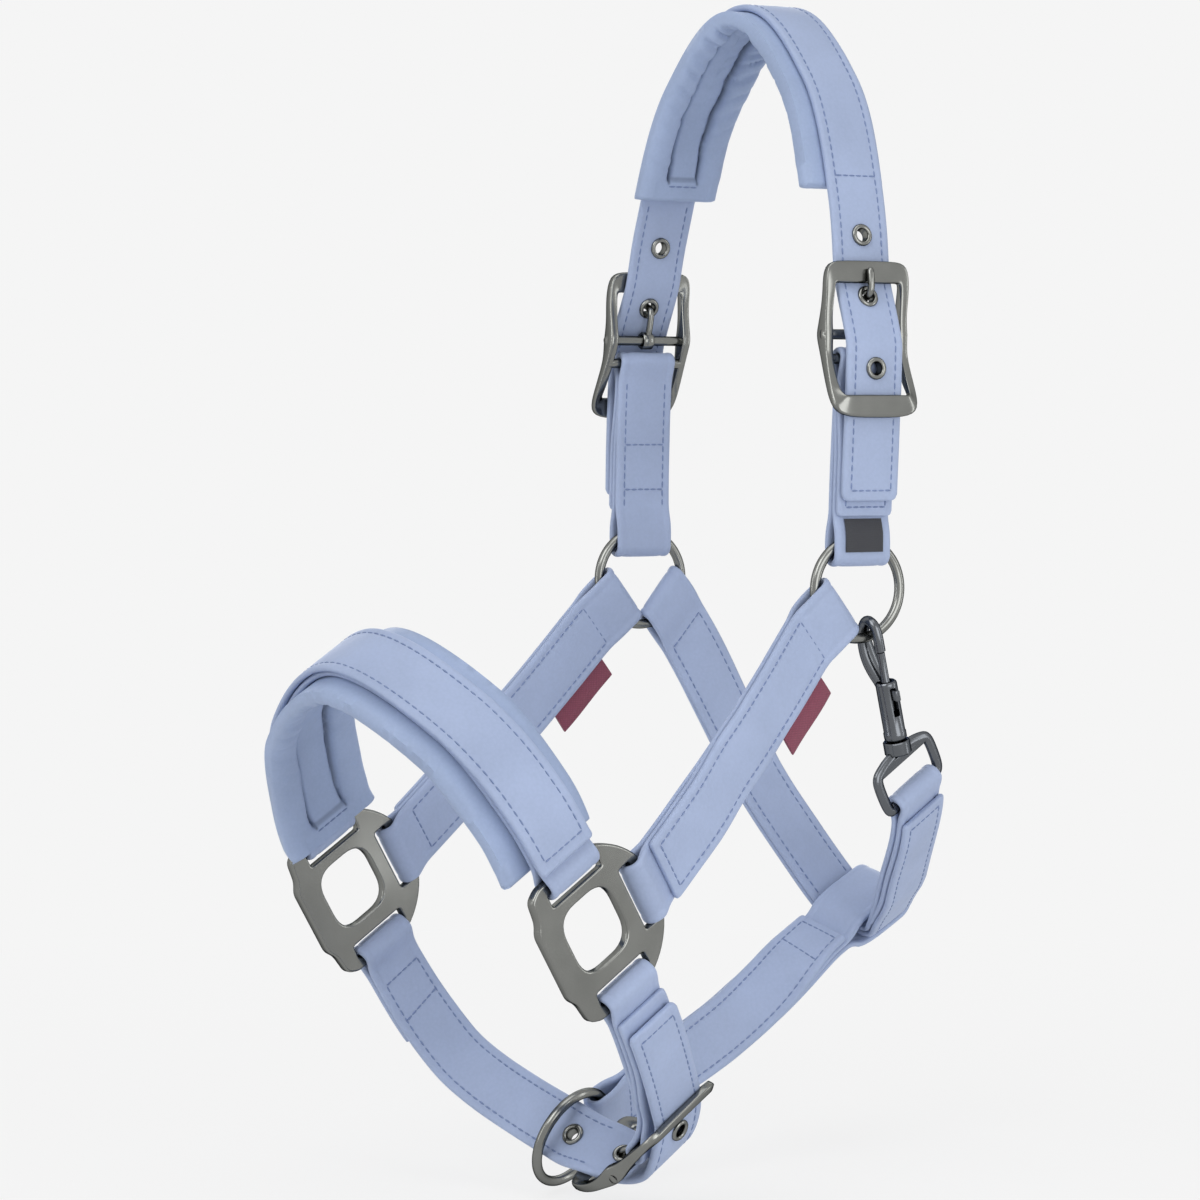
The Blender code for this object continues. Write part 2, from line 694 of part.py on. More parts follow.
def build_chin(chin):
    length = chin.length
    bar = chin.find(CHIN_UP) - CHIN_KEEPER
    layer = (CROWN_PLY + GAP) / 2
    tail = [(bar - s, n) for s, n in through_buckle(CROWN_PLY, TOP_BAR, bar - (length - CHIN_TAIL))]
    path = line(LAP_LEN, SETTLE, layer) + fold(0, -1, RIM_IN, 0, CROWN_PLY)
    path += line(SETTLE, LAP_LEN, -layer) + ease(LAP_LEN + 6, -layer, LAP_LEN + 24, 0)
    path += line(LAP_LEN + 30, tail[0][0] - 8, 0.0, 10) + tail
    bm = ribbon(chin, path, STRAP_W, CROWN_PLY)
    spots = [bar - k for k in CHIN_EYELETS]
    frames = [eyelet_frame(chin, path, s) for s in spots]
    add("chin_strap", cut_eyelets(bm, frames), leather("chin_strap"))
    for i, (spot, axis) in enumerate(frames):
        eyelet("chin_eyelet_%d" % (i + 1), spot, axis, CROWN_PLY, EYELET_EASE[i])
    path = folded(bar + CHAPE_BAR, BAR_R + GAP, 0, length, RIM_IN, 0, CHIN_LAP)
    add("chin_chape", ribbon(chin, path, STRAP_W, PLY), leather("chin_chape"))
    return bar


def build_throat(throat):
    path = folded(0, RING_IN, RING_REACH, throat.length, EYE_R + GAP, 0, THROAT_LAP, step=7.0)
    add("throat_strap", ribbon(throat, path, STRAP_W, PLY), leather("throat_strap"))


def build_back(back):
    loop_in = LAYER + PLY / 2 + LOOP_SLACK
    path = folded(0, RING_IN, RING_REACH, back.length, loop_in, STRAP_W - 1, LOOP_LAP, LOOP_LAP + 18, 3.5,
                  LAYER + TWIST_EASE)
    add("back_strap", ribbon(back, path, STRAP_W, PLY), leather("back_strap"))


# Hardware

def build_rings(chin):
    for side, word in ((1, "left"), (-1, "right")):
        name = "upper_ring_" + word
        profile = [(RING_R + WIRE_R * math.cos(t), WIRE_R * math.sin(t))
                   for t in (2 * math.pi * k / 8 for k in range(8))]
        add(name, lathe(profile, ring_centre(side), ring_out(), 32), steel(name), ring_centre(side))
    centre, axis, _, _ = lead_axes(chin)
    add("lead_ring", lathe(profile, centre, axis, 32), steel("lead_ring"), centre)


def rounded(points, radius, steps=3):
    """Round the corners of a closed outline of (a, b) points."""
    out = []
    for i, (a, b) in enumerate(points):
        corner = Vector((a, b, 0))
        before = Vector((*points[i - 1], 0)) - corner
        after = Vector((*points[(i + 1) % len(points)], 0)) - corner
        cut = min(radius, before.length * 0.45, after.length * 0.45)
        p, q = corner + before.normalized() * cut, corner + after.normalized() * cut
        for k in range(steps + 1):
            f = k / steps
            out.append(p * (1 - f)**2 + corner * 2 * f * (1 - f) + q * f * f)
    return [(p.x, p.y) for p in out]


def plate_outline():
    end_a = RIM_A + RIM / 2
    end_b = RIM_B + RIM / 2
    ear = SLOT_LEN / 2 + 5.5
    round_a = math.sqrt(PLATE_R**2 - end_b**2)
    round_b = math.sqrt(PLATE_R**2 - end_a**2)
    points = []
    for k in range(6):
        t = math.atan2(round_b, end_a) + (math.atan2(end_b, round_a) - math.atan2(round_b, end_a)) * k / 5
        points.append((PLATE_R * math.cos(t), PLATE_R * math.sin(t)))
    points += [(-a, b) for a, b in points[::-1]]
    front = [(end_a, -ear + 4), (EAR_A, -ear + 1), (EAR_A, -EAR_B + 2.5), (EAR_A - 2.2, -EAR_B),
             (EAR_STEP, -EAR_B), (EAR_STEP - 3.8, -PLATE_FRONT)]
    return points + [(-a, b) for a, b in front] + front[::-1]


def flat(outline, side, deep):
    """A slab of the plate's plane."""
    bm = bmesh.new()
    low = [bm.verts.new(plate_spot(side, a, b, -deep)) for a, b in outline]
    high = [bm.verts.new(plate_spot(side, a, b, deep)) for a, b in outline]
    bm.faces.new(low)
    bm.faces.new(high)
    for i in range(len(outline)):
        j = (i + 1) % len(outline)
        bm.faces.new((low[i], low[j], high[j], high[i]))
    return bm


def build_plates():
    slot_a, slot_b = RIM_A - RIM / 2 - SLOT / 2, RIM_B - RIM / 2 - SLOT / 2
    half, long = SLOT / 2, SLOT_LEN / 2
    corners = ((-WINDOW_A, -WINDOW_B), (WINDOW_A, -WINDOW_B), (WINDOW_A, WINDOW_B), (-WINDOW_A, WINDOW_B))
    holes = [rounded([(a + WINDOW_MID, b + WINDOW_MID) for a, b in corners], WINDOW_R)]
    for a0, a1, b0, b1 in ((-slot_a - half, -slot_a + half, -long, long),
                           (slot_a - half, slot_a + half, -long, long),
                           (-long, long, slot_b - half, slot_b + half)):
        holes.append(rounded([(a0, b0), (a1, b0), (a1, b1), (a0, b1)], 1.4, 2))
    for side, word in ((1, "left"), (-1, "right")):
        bm = flat(plate_outline(), side, PLATE_T / 2)
        for hole in holes:
            bm = boolean(bm, flat(hole, side, PLATE_T), "DIFFERENCE")
        name = "side_plate_" + word
        add(name, bm, steel(name))


def buckle(name, route, bar, way, top, keeper):
    """A double-bar buckle: bowed frame, prong bar, chape bar and a raised keeper below."""
    x1 = BUCKLE_IN + 2.0
    lift = -0.4 + CROWN_PLY / 2 + 2 * GAP + 1.5
    out = TAIL_N + CROWN_PLY / 2 + GAP + 1.4
    right = [(0, top, lift, 0, 1, BAR_FLAT, 1.5), (x1 - 6, top, lift, 0, 1, BAR_FLAT, 1.5),
             (x1 - 1.2, top - 1.2, lift, 0.7, 0.7, 2.9, 1.6), (x1, top - 6, lift * 0.8, 1, 0, 2.1, 1.8),
             (x1, top * 0.4, 0.6, 1, 0, 2.0, 1.9), (x1, 0, 0, 1, 0, 2.0, 2.0),
             (x1, -CHAPE_BAR, 0.5, 1, 0, 2.0, 1.9), (x1 + 0.6, -keeper * 0.72, out * 0.5, 1, 0, 2.0, 1.8),
             (x1 + 0.2, -keeper + 2.5, out - 0.9, 0.8, -0.6, 2.6, 1.6),
             (x1 - 4, -keeper, out, 0, -1, BAR_FLAT, 1.4), (0, -keeper, out, 0, -1, BAR_FLAT, 1.4)]
    left = [(-x, s, n, -dx, ds, p, q) for x, s, n, dx, ds, p, q in right[1:-1]][::-1]
    rings = []
    for x, s, n, dx, ds, p, q in right + left:
        size = math.hypot(dx, ds)
        ring = []
        for u, v in BUCKLE_SECTION:
            ring.append(route.spot(bar + way * (s + ds / size * p * u), n + q * v, x + dx / size * p * u))
        rings.append(ring)
    bm = tube(rings, True)
    for s in (0, -CHAPE_BAR):
        one = route.spot(bar + way * s, 0, -x1)
        two = route.spot(bar + way * s, 0, x1)
        reach = (two - one).length
        rod = lathe([(0, 0), (BAR_R, 0), (BAR_R, reach), (0, reach)], one, two - one, 12)
        bm = boolean(bm, rod, "UNION")
    add(name, bm, steel(name))


def prong(name, route, bar, way, top):
    """The pin on the prong bar, cranked through its eyelet to rest on the top bar."""
    spot, run, width, out = route.at(bar)
    width = width.normalized()
    hub = [(BAR_R + 0.3, -2.4), (HUB_R, -2.4), (HUB_R, 2.4), (BAR_R + 0.3, 2.4)]
    bm = lathe(hub, spot, width, 16)
    rest = -0.4 + CROWN_PLY / 2 + 3.0 + 3 * GAP + PRONG_R
    path = [(2.6, -1.6), (5.5, -2.2), (10.3, -2.3), (12.4, -1.7), (13.8, 0.4), (14.3, 3.0),
            (15.2, 4.8), (17.2, rest + 0.2), (top - 2.5, rest + 0.2), (top + 2.6, rest - 0.1)]
    points = [route.spot(bar + way * s, n, 0) for s, n in path]
    bm = boolean(bm, sweep(points, width, PRONG_R, PRONG_R), "UNION")
    add(name, bm, steel(name), spot)


def build_snap():
    spot, down, out, side = snap_axes()
    top, low = SNAP_BARREL
    pin = YOKE[1] + 0.6
    profile = [(0, top + 20), (SNAP_BORE_R, top + 20), (SNAP_BORE_R, top), (SNAP_BARREL_R, top),
               (SNAP_BARREL_R, low), (SNAP_PIN_R, low), (SNAP_PIN_R, pin), (SNAP_HEAD_R, pin),
               (SNAP_HEAD_R, pin + 1.8), (0, pin + 1.8)]
    bm = lathe(profile, spot, down, 16)
    w = SNAP_HOOK_W
    path = [(-4.7, top + 7), (-w * 0.74, top - 1), (-w * 0.95, top * 0.5), (-w, 2), (-w * 0.9, -3.4),
            (-w * 0.55, -6.6), (-w * 0.15, -5.4), (0, -1.5), (0, 5.6)]
    hook = sweep([spot + out * v + down * u for v, u in path], side, 1.8, 2.3)
    bm = boolean(bm, hook, "UNION")
    slot = box(spot + down * (top + 9.5) + out * 4, (down, out, side), (7.5, 3, 1.6))
    bm = boolean(bm, slot, "DIFFERENCE")
    add("snap_body", bm, steel("snap_body"), spot + down * low)
    tip = 5.6 + GAP
    rod = [(0, tip), (BOLT_R, tip), (BOLT_R, top - 0.5), (BOLT_STEM_R, top + 0.5), (BOLT_STEM_R, top + 12),
           (0, top + 12)]
    rod = lathe(rod, spot, down, 12)
    knob = box(spot + down * (top + 5) + out * 4, (down, out, side), (2.2, 3.4, 1.2))
    add("snap_bolt", boolean(rod, knob, "UNION"), steel("snap_bolt"), spot + down * top)
    yoke, bar_mid, bar, drop = eye_axes()
    tall = (YOKE[1] - YOKE[0]) / 2
    hole = SNAP_PIN_R + 0.4
    boss = lathe([(hole, -tall), (YOKE_R, -tall), (YOKE_R, tall), (hole, tall)], yoke, down, 16)
    wide = STRAP_W / 2 + 3.6
    arm = [(4.1, 0), (8, 0.8), (wide - 4, 4.4), (wide - 1, 6.4), (wide + 0.2, 9), (wide, EYE_DROP - 3),
           (wide - 1.2, EYE_DROP), (wide - 3.6, EYE_DROP)]
    arm += [(-a, d) for a, d in arm[::-1]]
    loop = sweep([yoke + bar * a + drop * d for a, d in arm], bar.cross(drop), EYE_R, EYE_R)
    add("snap_eye", boolean(boss, loop, "UNION"), steel("snap_eye"))


def main():
    for obj in list(bpy.data.objects):
        bpy.data.objects.remove(obj)
    crown = crown_route()
    nose = nose_route()
    chin = chin_route()
    throat = throat_route()
    back = back_route(chin, throat)
    bar = build_crown(crown)
    build_cheeks()
    build_noseband(nose)
    chin_bar = build_chin(chin)
    build_throat(throat)
    build_back(back)
    build_rings(chin)
    build_plates()
    for name, route, at, way, top, keeper in (
            ("crown_%s_left", crown, bar, -1, TOP_BAR, KEEPER),
            ("crown_%s_right", crown, crown.length - bar, 1, TOP_BAR, KEEPER),
            ("chin_%s", chin, chin_bar, -1, TOP_BAR, CHIN_KEEPER)):
        buckle(name % "buckle", route, at, way, top, keeper)
        prong(name % "prong", route, at, way, top)
    build_snap()


main()
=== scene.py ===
"""Looks of the head halter: stitched leather straps, channelled pads and gunmetal hardware.

Sizes are millimetres, turned to metres when a piece is finished. +Z is up, -Y is the nose and +X the wearer's
left.
"""
import math
from bisect import bisect_right

import bmesh
import bpy
from mathutils import Matrix, Vector, noise


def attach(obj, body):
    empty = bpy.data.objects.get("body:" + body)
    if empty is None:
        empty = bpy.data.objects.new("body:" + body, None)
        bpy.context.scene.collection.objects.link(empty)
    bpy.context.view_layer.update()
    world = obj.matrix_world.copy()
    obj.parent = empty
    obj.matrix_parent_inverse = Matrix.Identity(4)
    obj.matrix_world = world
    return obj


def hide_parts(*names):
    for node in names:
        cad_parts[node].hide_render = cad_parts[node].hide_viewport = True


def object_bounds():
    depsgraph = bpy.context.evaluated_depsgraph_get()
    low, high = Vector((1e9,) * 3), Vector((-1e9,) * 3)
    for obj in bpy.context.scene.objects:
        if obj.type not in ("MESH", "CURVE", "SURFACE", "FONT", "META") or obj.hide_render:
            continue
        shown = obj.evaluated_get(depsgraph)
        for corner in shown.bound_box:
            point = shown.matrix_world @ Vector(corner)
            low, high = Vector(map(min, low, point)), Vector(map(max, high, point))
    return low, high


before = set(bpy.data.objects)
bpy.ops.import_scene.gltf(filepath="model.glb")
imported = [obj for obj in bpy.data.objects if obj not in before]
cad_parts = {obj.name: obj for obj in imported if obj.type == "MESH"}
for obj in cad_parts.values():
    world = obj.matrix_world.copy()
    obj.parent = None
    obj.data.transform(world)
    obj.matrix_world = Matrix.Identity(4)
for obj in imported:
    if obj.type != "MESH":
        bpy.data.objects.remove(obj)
CAD_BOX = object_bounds()

MM = 0.001
GAP = 0.3

# Straps
STRAP_W = 25.0
PLY = 2.4
CROWN_PLY = 2.8
LAYER = (PLY + GAP) / 2
LAP_END = 15.0
LAP_LEN = 36.0
SKIVE = 27.0
SKIVE_END = -0.8
CHEEK_LAP = 8.0
SETTLE = 7.0
TAB_START = 22.0
TAB_LEN = 33.0
TAB_OUT = 8.6
STITCH_IN = 3.5
STITCH_PITCH = 3.5
STITCH_LEN = 2.7
STITCH_R = 0.37
CROSS_PITCH = 3.0
GROOVE = 0.24
TAIL_SEW = 4.0
BAR_SEW = 8.0
RING_SEW = 9.0
RIM_SEW = 12.0

# Upper hardware
LEG_X = 65.0
BUCKLE_Y = -8.0
BUCKLE_Z = -122.0
RING_Y = -11.0
RING_Z = -221.0
LEG_TURN = math.radians(12)
RING_R = 19.4
WIRE_R = 2.0
CHEEK_ANGLE = math.radians(217)
THROAT_ANGLE = math.radians(322)
SNAP_ANGLE = math.radians(288)

# Pads
PAD_PANEL = 0.36
PAD_FLAP = 9.0
PAD_OVER = 12
PAD_UNDER = 90
PUCKER = 6.2

# Crown
CROWN_PAD_W = 37.0
CROWN_PAD_T = 8.4
CROWN_PAD_END = 63.0
CROWN_PAD_LEAN = 3.0
CROWN_TAIL = 21.0
CROWN_TOP = CROWN_PAD_T + GAP + CROWN_PLY / 2

# Side plates, in their own plane: a runs down and back, b runs up and back
PLATE_X = 75.0
PLATE_Y = -152.2
PLATE_Z = -340.3
PLATE_TILT = math.radians(31)
PLATE_T = 4.0
WINDOW_A = 13.6
WINDOW_B = 12.9
WINDOW_R = 9.6
WINDOW_MID = -1.2
SLOT_A = 19.4
SLOT_B = 18.5
SLOT = 5.8
RIM = 4.4
RIM_ROUND = 0.9
SLOT_LEN = STRAP_W + 1.4
PLATE_FRONT = 24.5
EAR_A = 26.8
EAR_B = 22.0
EAR_STEP = 18.0
PLATE_R = 31.5

# Noseband
NOSE_TOP_Y = -206.0
NOSE_TOP_Z = -241.0
NOSE_FACE_W = 27.0
NOSE_PAD_W = 46.0
NOSE_PAD_T = 7.5
NOSE_PAD_END = 6.5
NOSE_PAD_FAR = 1.0
NOSE_FACE_END = 5.5
NOSE_FACE_LIFT = 1.3

# Chin
CHIN_MID = Vector((0.0, -107.0, -431.0))
CHIN_BEND = [Vector((18.0, -104.5, -435.5)), Vector((34.0, -101.5, -436.0)), Vector((47.5, -100.5, -428.5))]
CHIN_UP = Vector((55.5, -103.5, -411.5))
CHIN_LAP = 7.0
CHIN_TAIL = 12.0
CHIN_TILT = math.radians(58)

# Throat and back straps
THROAT_LOW = Vector((0.0, 55.0, -357.0))
THROAT_TILT = math.radians(26)
THROAT_FLAT = STRAP_W / 2 + 2.0
THROAT_SAG = 1.6
THROAT_LAP = 8.0
THROAT_UNDER = 58.0
LOOP_SLACK = 3.2
LOOP_LAP = STRAP_W + 9.0
EYE_TILT = math.radians(30)
LEAD_HANG = 0.5
LEAD_PULL = math.radians(33)

# Buckles, along the strap from the prong bar
TOP_BAR = 24.0
CHAPE_BAR = 9.5
KEEPER = 28.0
CHIN_KEEPER = 25.0
BUCKLE_IN = STRAP_W / 2 + 2.5
BAR_R = 2.0
BAR_FLAT = 4.2
BAR_SLIM = 2.2
HUB_R = 3.6
PRONG_R = 1.2
EYELET_R = 4.4
EYELET_HOLE = 2.5
EYELET_DRILL = 3.3
CROWN_EYELETS = (-13.5, 14.0, 39.0)
CHIN_EYELETS = (-15.5, 13.5, 38.0)
EYELET_EASE = (0.1, 0.45, 0.4)

# Snap, along its axis from the ring wire
SNAP_OUT = 5.4
SNAP_HOOK_W = 10.6
SNAP_BARREL = (18.0, 42.0)
SNAP_BARREL_R = 4.6
SNAP_TIP = 5.6
BOLT_R = 1.6
YOKE = (42.6, 48.0)
EYE_DROP = 21.0
EYE_R = 2.1

# Camera fitted to the photograph
CAM_TURN = math.radians(50)
CAM_LIFT = math.radians(2.9)
CAM_SPOT = Vector((1.0365, -0.9573, -0.1568))
CAM_LENS = 104.1

# Finishes
LEATHER = "#a0aecc"
PAD_LEATHER = "#9babca"
THREAD = "#7283aa"
GUNMETAL = "#7d7e7b"
GUNMETAL_CAST = "#626569"
# painted shade for the flanks of the metal, given as its glancing tint
PAINTED_FLANK_SHADE = "#606266"
MAROON = "#7c3049"
BLACK = "#2b2d34"
PAPER = "#f5f5f5"


# Materials

def linear(text):
    """An sRGB hex colour as linear light."""
    out = []
    for i in (1, 3, 5):
        c = int(text[i:i + 2], 16) / 255
        out.append(c / 12.92 if c <= 0.04045 else ((c + 0.055) / 1.055)**2.4)
    return (*out, 1.0)


def node(tree, kind, settings=None, **links):
    """Add one node; settings are its properties or socket values, links feed its sockets."""
    new = tree.nodes.new(kind)
    for key, value in (settings or {}).items():
        if isinstance(key, str) and hasattr(new, key):
            setattr(new, key, value)
        else:
            new.inputs[key].default_value = value
    for key, source in links.items():
        name = key.replace("_", " ")
        socket = new.inputs[int(key[1:])] if key[0] == "i" and key[1:].isdigit() else new.inputs[name]
        tree.links.new(source, socket)
    return new


def blank(name):
    mat = bpy.data.materials.new(name)
    mat.use_nodes = True
    tree = mat.node_tree
    shader = tree.nodes["Principled BSDF"]
    where = node(tree, "ShaderNodeTexCoord").outputs["Object"]
    return mat, tree, shader, where


def coated_leather(name, tint, depth):
    """Coated split leather, embossed with a fine pebble: matt, a little uneven in tone, painted darker in the
    pits as shade.

    The attribute seam is 1 along a sewn channel, where the colour is darkened as painted shade in the
    channel, and 0 elsewhere.
    """
    mat, tree, shader, where = blank(name)
    # The real pebble is about 0.5 mm; it is drawn at 1.3 mm, the finest that shows at this distance
    pebble = node(tree, "ShaderNodeTexVoronoi",
                  {"Scale": 1 / (1.3 * MM), "feature": "SMOOTH_F1", "Smoothness": 0.6}, Vector=where)
    cloud = node(tree, "ShaderNodeTexNoise", {"Scale": 1 / (35 * MM), "Detail": 3.0}, Vector=where)
    creases = node(tree, "ShaderNodeTexNoise", {"Scale": 1 / (9 * MM), "Detail": 5.0, "Roughness": 0.6},
                   Vector=where)
    shade = node(tree, "ShaderNodeMapRange",
                 {"From Min": 0.3, "From Max": 0.7, "To Min": 0.93, "To Max": 1.06},
                 Value=cloud.outputs["Fac"])
    # painted shade: the colour is made darker in the pebble's pits
    painted_pit_shade = node(tree, "ShaderNodeMapRange", {"From Max": 0.8, "To Min": 1.015, "To Max": 0.96},
               Value=pebble.outputs["Distance"])
    both = node(tree, "ShaderNodeMath", {"operation": "MULTIPLY"}, i0=shade.outputs[0], i1=painted_pit_shade.outputs[0])
    # painted shade: the seam attribute darkens the colour along the sewn channels
    sewn = node(tree, "ShaderNodeAttribute", {"attribute_name": "seam"})
    painted_seam_shade = node(tree, "ShaderNodeMapRange", {"To Min": 1.0, "To Max": 0.42}, Value=sewn.outputs["Fac"])
    tone_and_painted_shade = node(tree, "ShaderNodeMath", {"operation": "MULTIPLY"}, i0=both.outputs[0], i1=painted_seam_shade.outputs[0])
    colour = node(tree, "ShaderNodeVectorMath", {"operation": "SCALE", 0: linear(tint)[:3]},
                  Scale=tone_and_painted_shade.outputs[0])
    tree.links.new(colour.outputs[0], shader.inputs["Base Color"])
    rough = node(tree, "ShaderNodeMapRange",
                 {"From Min": 0.3, "From Max": 0.7, "To Min": 0.5, "To Max": 0.64},
                 Value=creases.outputs["Fac"])
    tree.links.new(rough.outputs[0], shader.inputs["Roughness"])
    fine = node(tree, "ShaderNodeBump", {"Strength": depth, "Distance": 0.00012, "invert": True},
                Height=pebble.outputs["Distance"])
    soft = node(tree, "ShaderNodeBump", {"Strength": depth * 0.8, "Distance": 0.0005},
                Height=creases.outputs["Fac"], Normal=fine.outputs[0])
    tree.links.new(soft.outputs[0], shader.inputs["Normal"])
    shader.inputs["Specular IOR Level"].default_value = 0.35
    return mat


def twisted_thread(name):
    """Bonded polyester thread: two plies laid at a slant, a dull gleam painted along each and painted shade
    between them.
    """
    mat, tree, shader, where = blank(name)
    ply = node(tree, "ShaderNodeTexWave",
               {"Scale": 1 / (1.6 * MM), "bands_direction": "DIAGONAL", "Distortion": 0.6}, Vector=where)
    # painted highlight and shade: the colour follows the ply bands, lighter on each ply and darker between
    tone = node(tree, "ShaderNodeMapRange", {"To Min": 0.86, "To Max": 1.08}, Value=ply.outputs["Fac"])
    colour = node(tree, "ShaderNodeVectorMath", {"operation": "SCALE", 0: linear(THREAD)[:3]},
                  Scale=tone.outputs[0])
    tree.links.new(colour.outputs[0], shader.inputs["Base Color"])
    bump = node(tree, "ShaderNodeBump", {"Strength": 0.5, "Distance": 0.0001}, Height=ply.outputs["Fac"])
    tree.links.new(bump.outputs[0], shader.inputs["Normal"])
    shader.inputs["Roughness"].default_value = 0.48
    return mat


def gunmetal_plate(name, tint):
    """Black-nickel plate on tumbled steel or a zinc casting: a soft satin mirror with faint clouding."""
    mat, tree, shader, where = blank(name)
    cloud = node(tree, "ShaderNodeTexNoise", {"Scale": 1 / (12 * MM), "Detail": 4.0}, Vector=where)
    swell = node(tree, "ShaderNodeTexNoise", {"Scale": 1 / (40 * MM), "Detail": 0.0}, Vector=where)
    grit = node(tree, "ShaderNodeTexNoise", {"Scale": 1 / (0.7 * MM), "Detail": 2.0}, Vector=where)
    tone = node(tree, "ShaderNodeMapRange",
                {"From Min": 0.3, "From Max": 0.7, "To Min": 0.95, "To Max": 1.05},
                Value=cloud.outputs["Fac"])
    colour = node(tree, "ShaderNodeVectorMath", {"operation": "SCALE", 0: linear(tint)[:3]},
                  Scale=tone.outputs[0])
    tree.links.new(colour.outputs[0], shader.inputs["Base Color"])
    rough = node(tree, "ShaderNodeMapRange",
                 {"From Min": 0.3, "From Max": 0.7, "To Min": 0.19, "To Max": 0.24},
                 Value=cloud.outputs["Fac"])
    tree.links.new(rough.outputs[0], shader.inputs["Roughness"])
    fine = node(tree, "ShaderNodeBump", {"Strength": 0.025, "Distance": 0.0001}, Height=grit.outputs["Fac"])
    slow = node(tree, "ShaderNodeBump", {"Strength": 1.0, "Distance": 0.002}, Height=swell.outputs["Fac"],
                Normal=fine.outputs[0])
    tree.links.new(slow.outputs[0], shader.inputs["Normal"])
    shader.inputs["Metallic"].default_value = 1.0
    # A dark glancing tint paints shade on the flanks of round bars, standing in for dark reflections there
    shader.inputs["Specular Tint"].default_value = linear(PAINTED_FLANK_SHADE)
    return mat


def woven_tape(name, tint, rough):
    """Damask tape: crossing warp and weft, with a slight silk gleam."""
    mat, tree, shader, where = blank(name)
    # Real threads lie about 0.45 mm apart; they are drawn about 0.9 mm apart, so that they show at all
    warp = node(tree, "ShaderNodeTexWave", {"Scale": 1 / (2.8 * MM), "bands_direction": "Z"}, Vector=where)
    weft = node(tree, "ShaderNodeTexWave", {"Scale": 1 / (2.8 * MM), "bands_direction": "Y"}, Vector=where)
    cross = node(tree, "ShaderNodeMath", {"operation": "MULTIPLY"}, i0=warp.outputs["Fac"],
                 i1=weft.outputs["Fac"])
    tone = node(tree, "ShaderNodeMapRange", {"To Min": 0.82, "To Max": 1.15}, Value=cross.outputs[0])
    colour = node(tree, "ShaderNodeVectorMath", {"operation": "SCALE", 0: linear(tint)[:3]},
                  Scale=tone.outputs[0])
    tree.links.new(colour.outputs[0], shader.inputs["Base Color"])
    bump = node(tree, "ShaderNodeBump", {"Strength": 0.35, "Distance": 0.0001}, Height=cross.outputs[0])
    tree.links.new(bump.outputs[0], shader.inputs["Normal"])
    shader.inputs["Roughness"].default_value = rough
    shader.inputs["Sheen Weight"].default_value = 0.2
    return mat


STRAP_SKIN = coated_leather("coated_leather_strap", LEATHER, 0.35)
PAD_SKIN = coated_leather("coated_leather_pad", PAD_LEATHER, 0.3)
SEWING = twisted_thread("bonded_thread")
METAL = gunmetal_plate("black_nickel_steel", GUNMETAL)
CAST_METAL = gunmetal_plate("black_nickel_zinc_casting", GUNMETAL_CAST)
TAB_CLOTH = woven_tape("woven_tape_maroon", MAROON, 0.6)
LABEL_CLOTH = woven_tape("woven_tape_black", BLACK, 0.7)


# Modelling helpers

def to_mesh(name, bm):
    """A mesh from a bmesh, which is used up."""
    mesh = bpy.data.meshes.new(name)
    bm.to_mesh(mesh)
    bm.free()
    return mesh


def placed(name, data):
    """A new object in the scene, at the origin."""
    obj = bpy.data.objects.new(name, data)
    bpy.context.scene.collection.objects.link(obj)
    return obj


def finish(name, bm, mat, stands_for=None, body="halter", sharp=35):
    """Make a millimetre bmesh a piece of the halter, carried by a body, in place of a CAD node."""
    bmesh.ops.remove_doubles(bm, verts=bm.verts, dist=1e-4)
    bm.normal_update()
    bmesh.ops.recalc_face_normals(bm, faces=bm.faces)
    bmesh.ops.scale(bm, vec=(MM, MM, MM), verts=bm.verts)
    mesh = to_mesh(name, bm)
    mesh.shade_smooth()
    mesh.set_sharp_from_angle(angle=math.radians(sharp))
    mesh.materials.append(mat)
    obj = placed(name, mesh)
    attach(obj, body)
    if stands_for:
        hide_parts(stands_for)
    return obj


def boolean(bm, other, kind):
    """Join or cut one bmesh by another; both are used up and the result comes back as a bmesh."""
    pair = []
    for part in (bm, other):
        part.normal_update()
        bmesh.ops.recalc_face_normals(part, faces=part.faces)
        pair.append(placed("tool", to_mesh("tool", part)))
    mod = pair[0].modifiers.new("join", "BOOLEAN")
    mod.operation = kind
    mod.solver = "EXACT"
    mod.object = pair[1]
    return evaluated(pair)


def evaluated(objects):
    """The first object's mesh with its modifiers applied, as a bmesh; the objects go."""
    bpy.context.view_layer.update()
    seen = objects[0].evaluated_get(bpy.context.evaluated_depsgraph_get())
    out = bmesh.new()
    out.from_mesh(seen.to_mesh())
    seen.to_mesh_clear()
    for obj in objects:
        mesh = obj.data
        bpy.data.objects.remove(obj)
        bpy.data.meshes.remove(mesh)
    return out


def subdivided(bm, levels):
    """A cage smoothed by a subdivision surface."""
    obj = placed("cage", to_mesh("cage", bm))
    mod = obj.modifiers.new("smooth", "SUBSURF")
    mod.levels = levels
    mod.render_levels = levels
    return evaluated([obj])


def wrap(rows, cols, place, closed=False, seam=None):
    """Roll a grid into a tube: place gives each point by its row along the tube and column round it."""
    bm = bmesh.new()
    # the seam attribute is a painted shade mask, read by the leather's colour
    mark = bm.verts.layers.float.new("seam") if seam else None
    spans = rows if closed else rows - 1
    bmesh.ops.create_grid(bm, x_segments=spans, y_segments=cols, size=1)
    for vert in bm.verts:
        i = round((vert.co.x + 1) / 2 * spans)
        j = round((vert.co.y + 1) / 2 * cols)
        vert.co = place(i % rows if closed else i, j % cols)
        if seam:
            vert[mark] = seam(i, j % cols)
    bmesh.ops.remove_doubles(bm, verts=bm.verts, dist=1e-4)
    if not closed:
        bmesh.ops.holes_fill(bm, edges=[e for e in bm.edges if e.is_boundary], sides=0)
    return bm


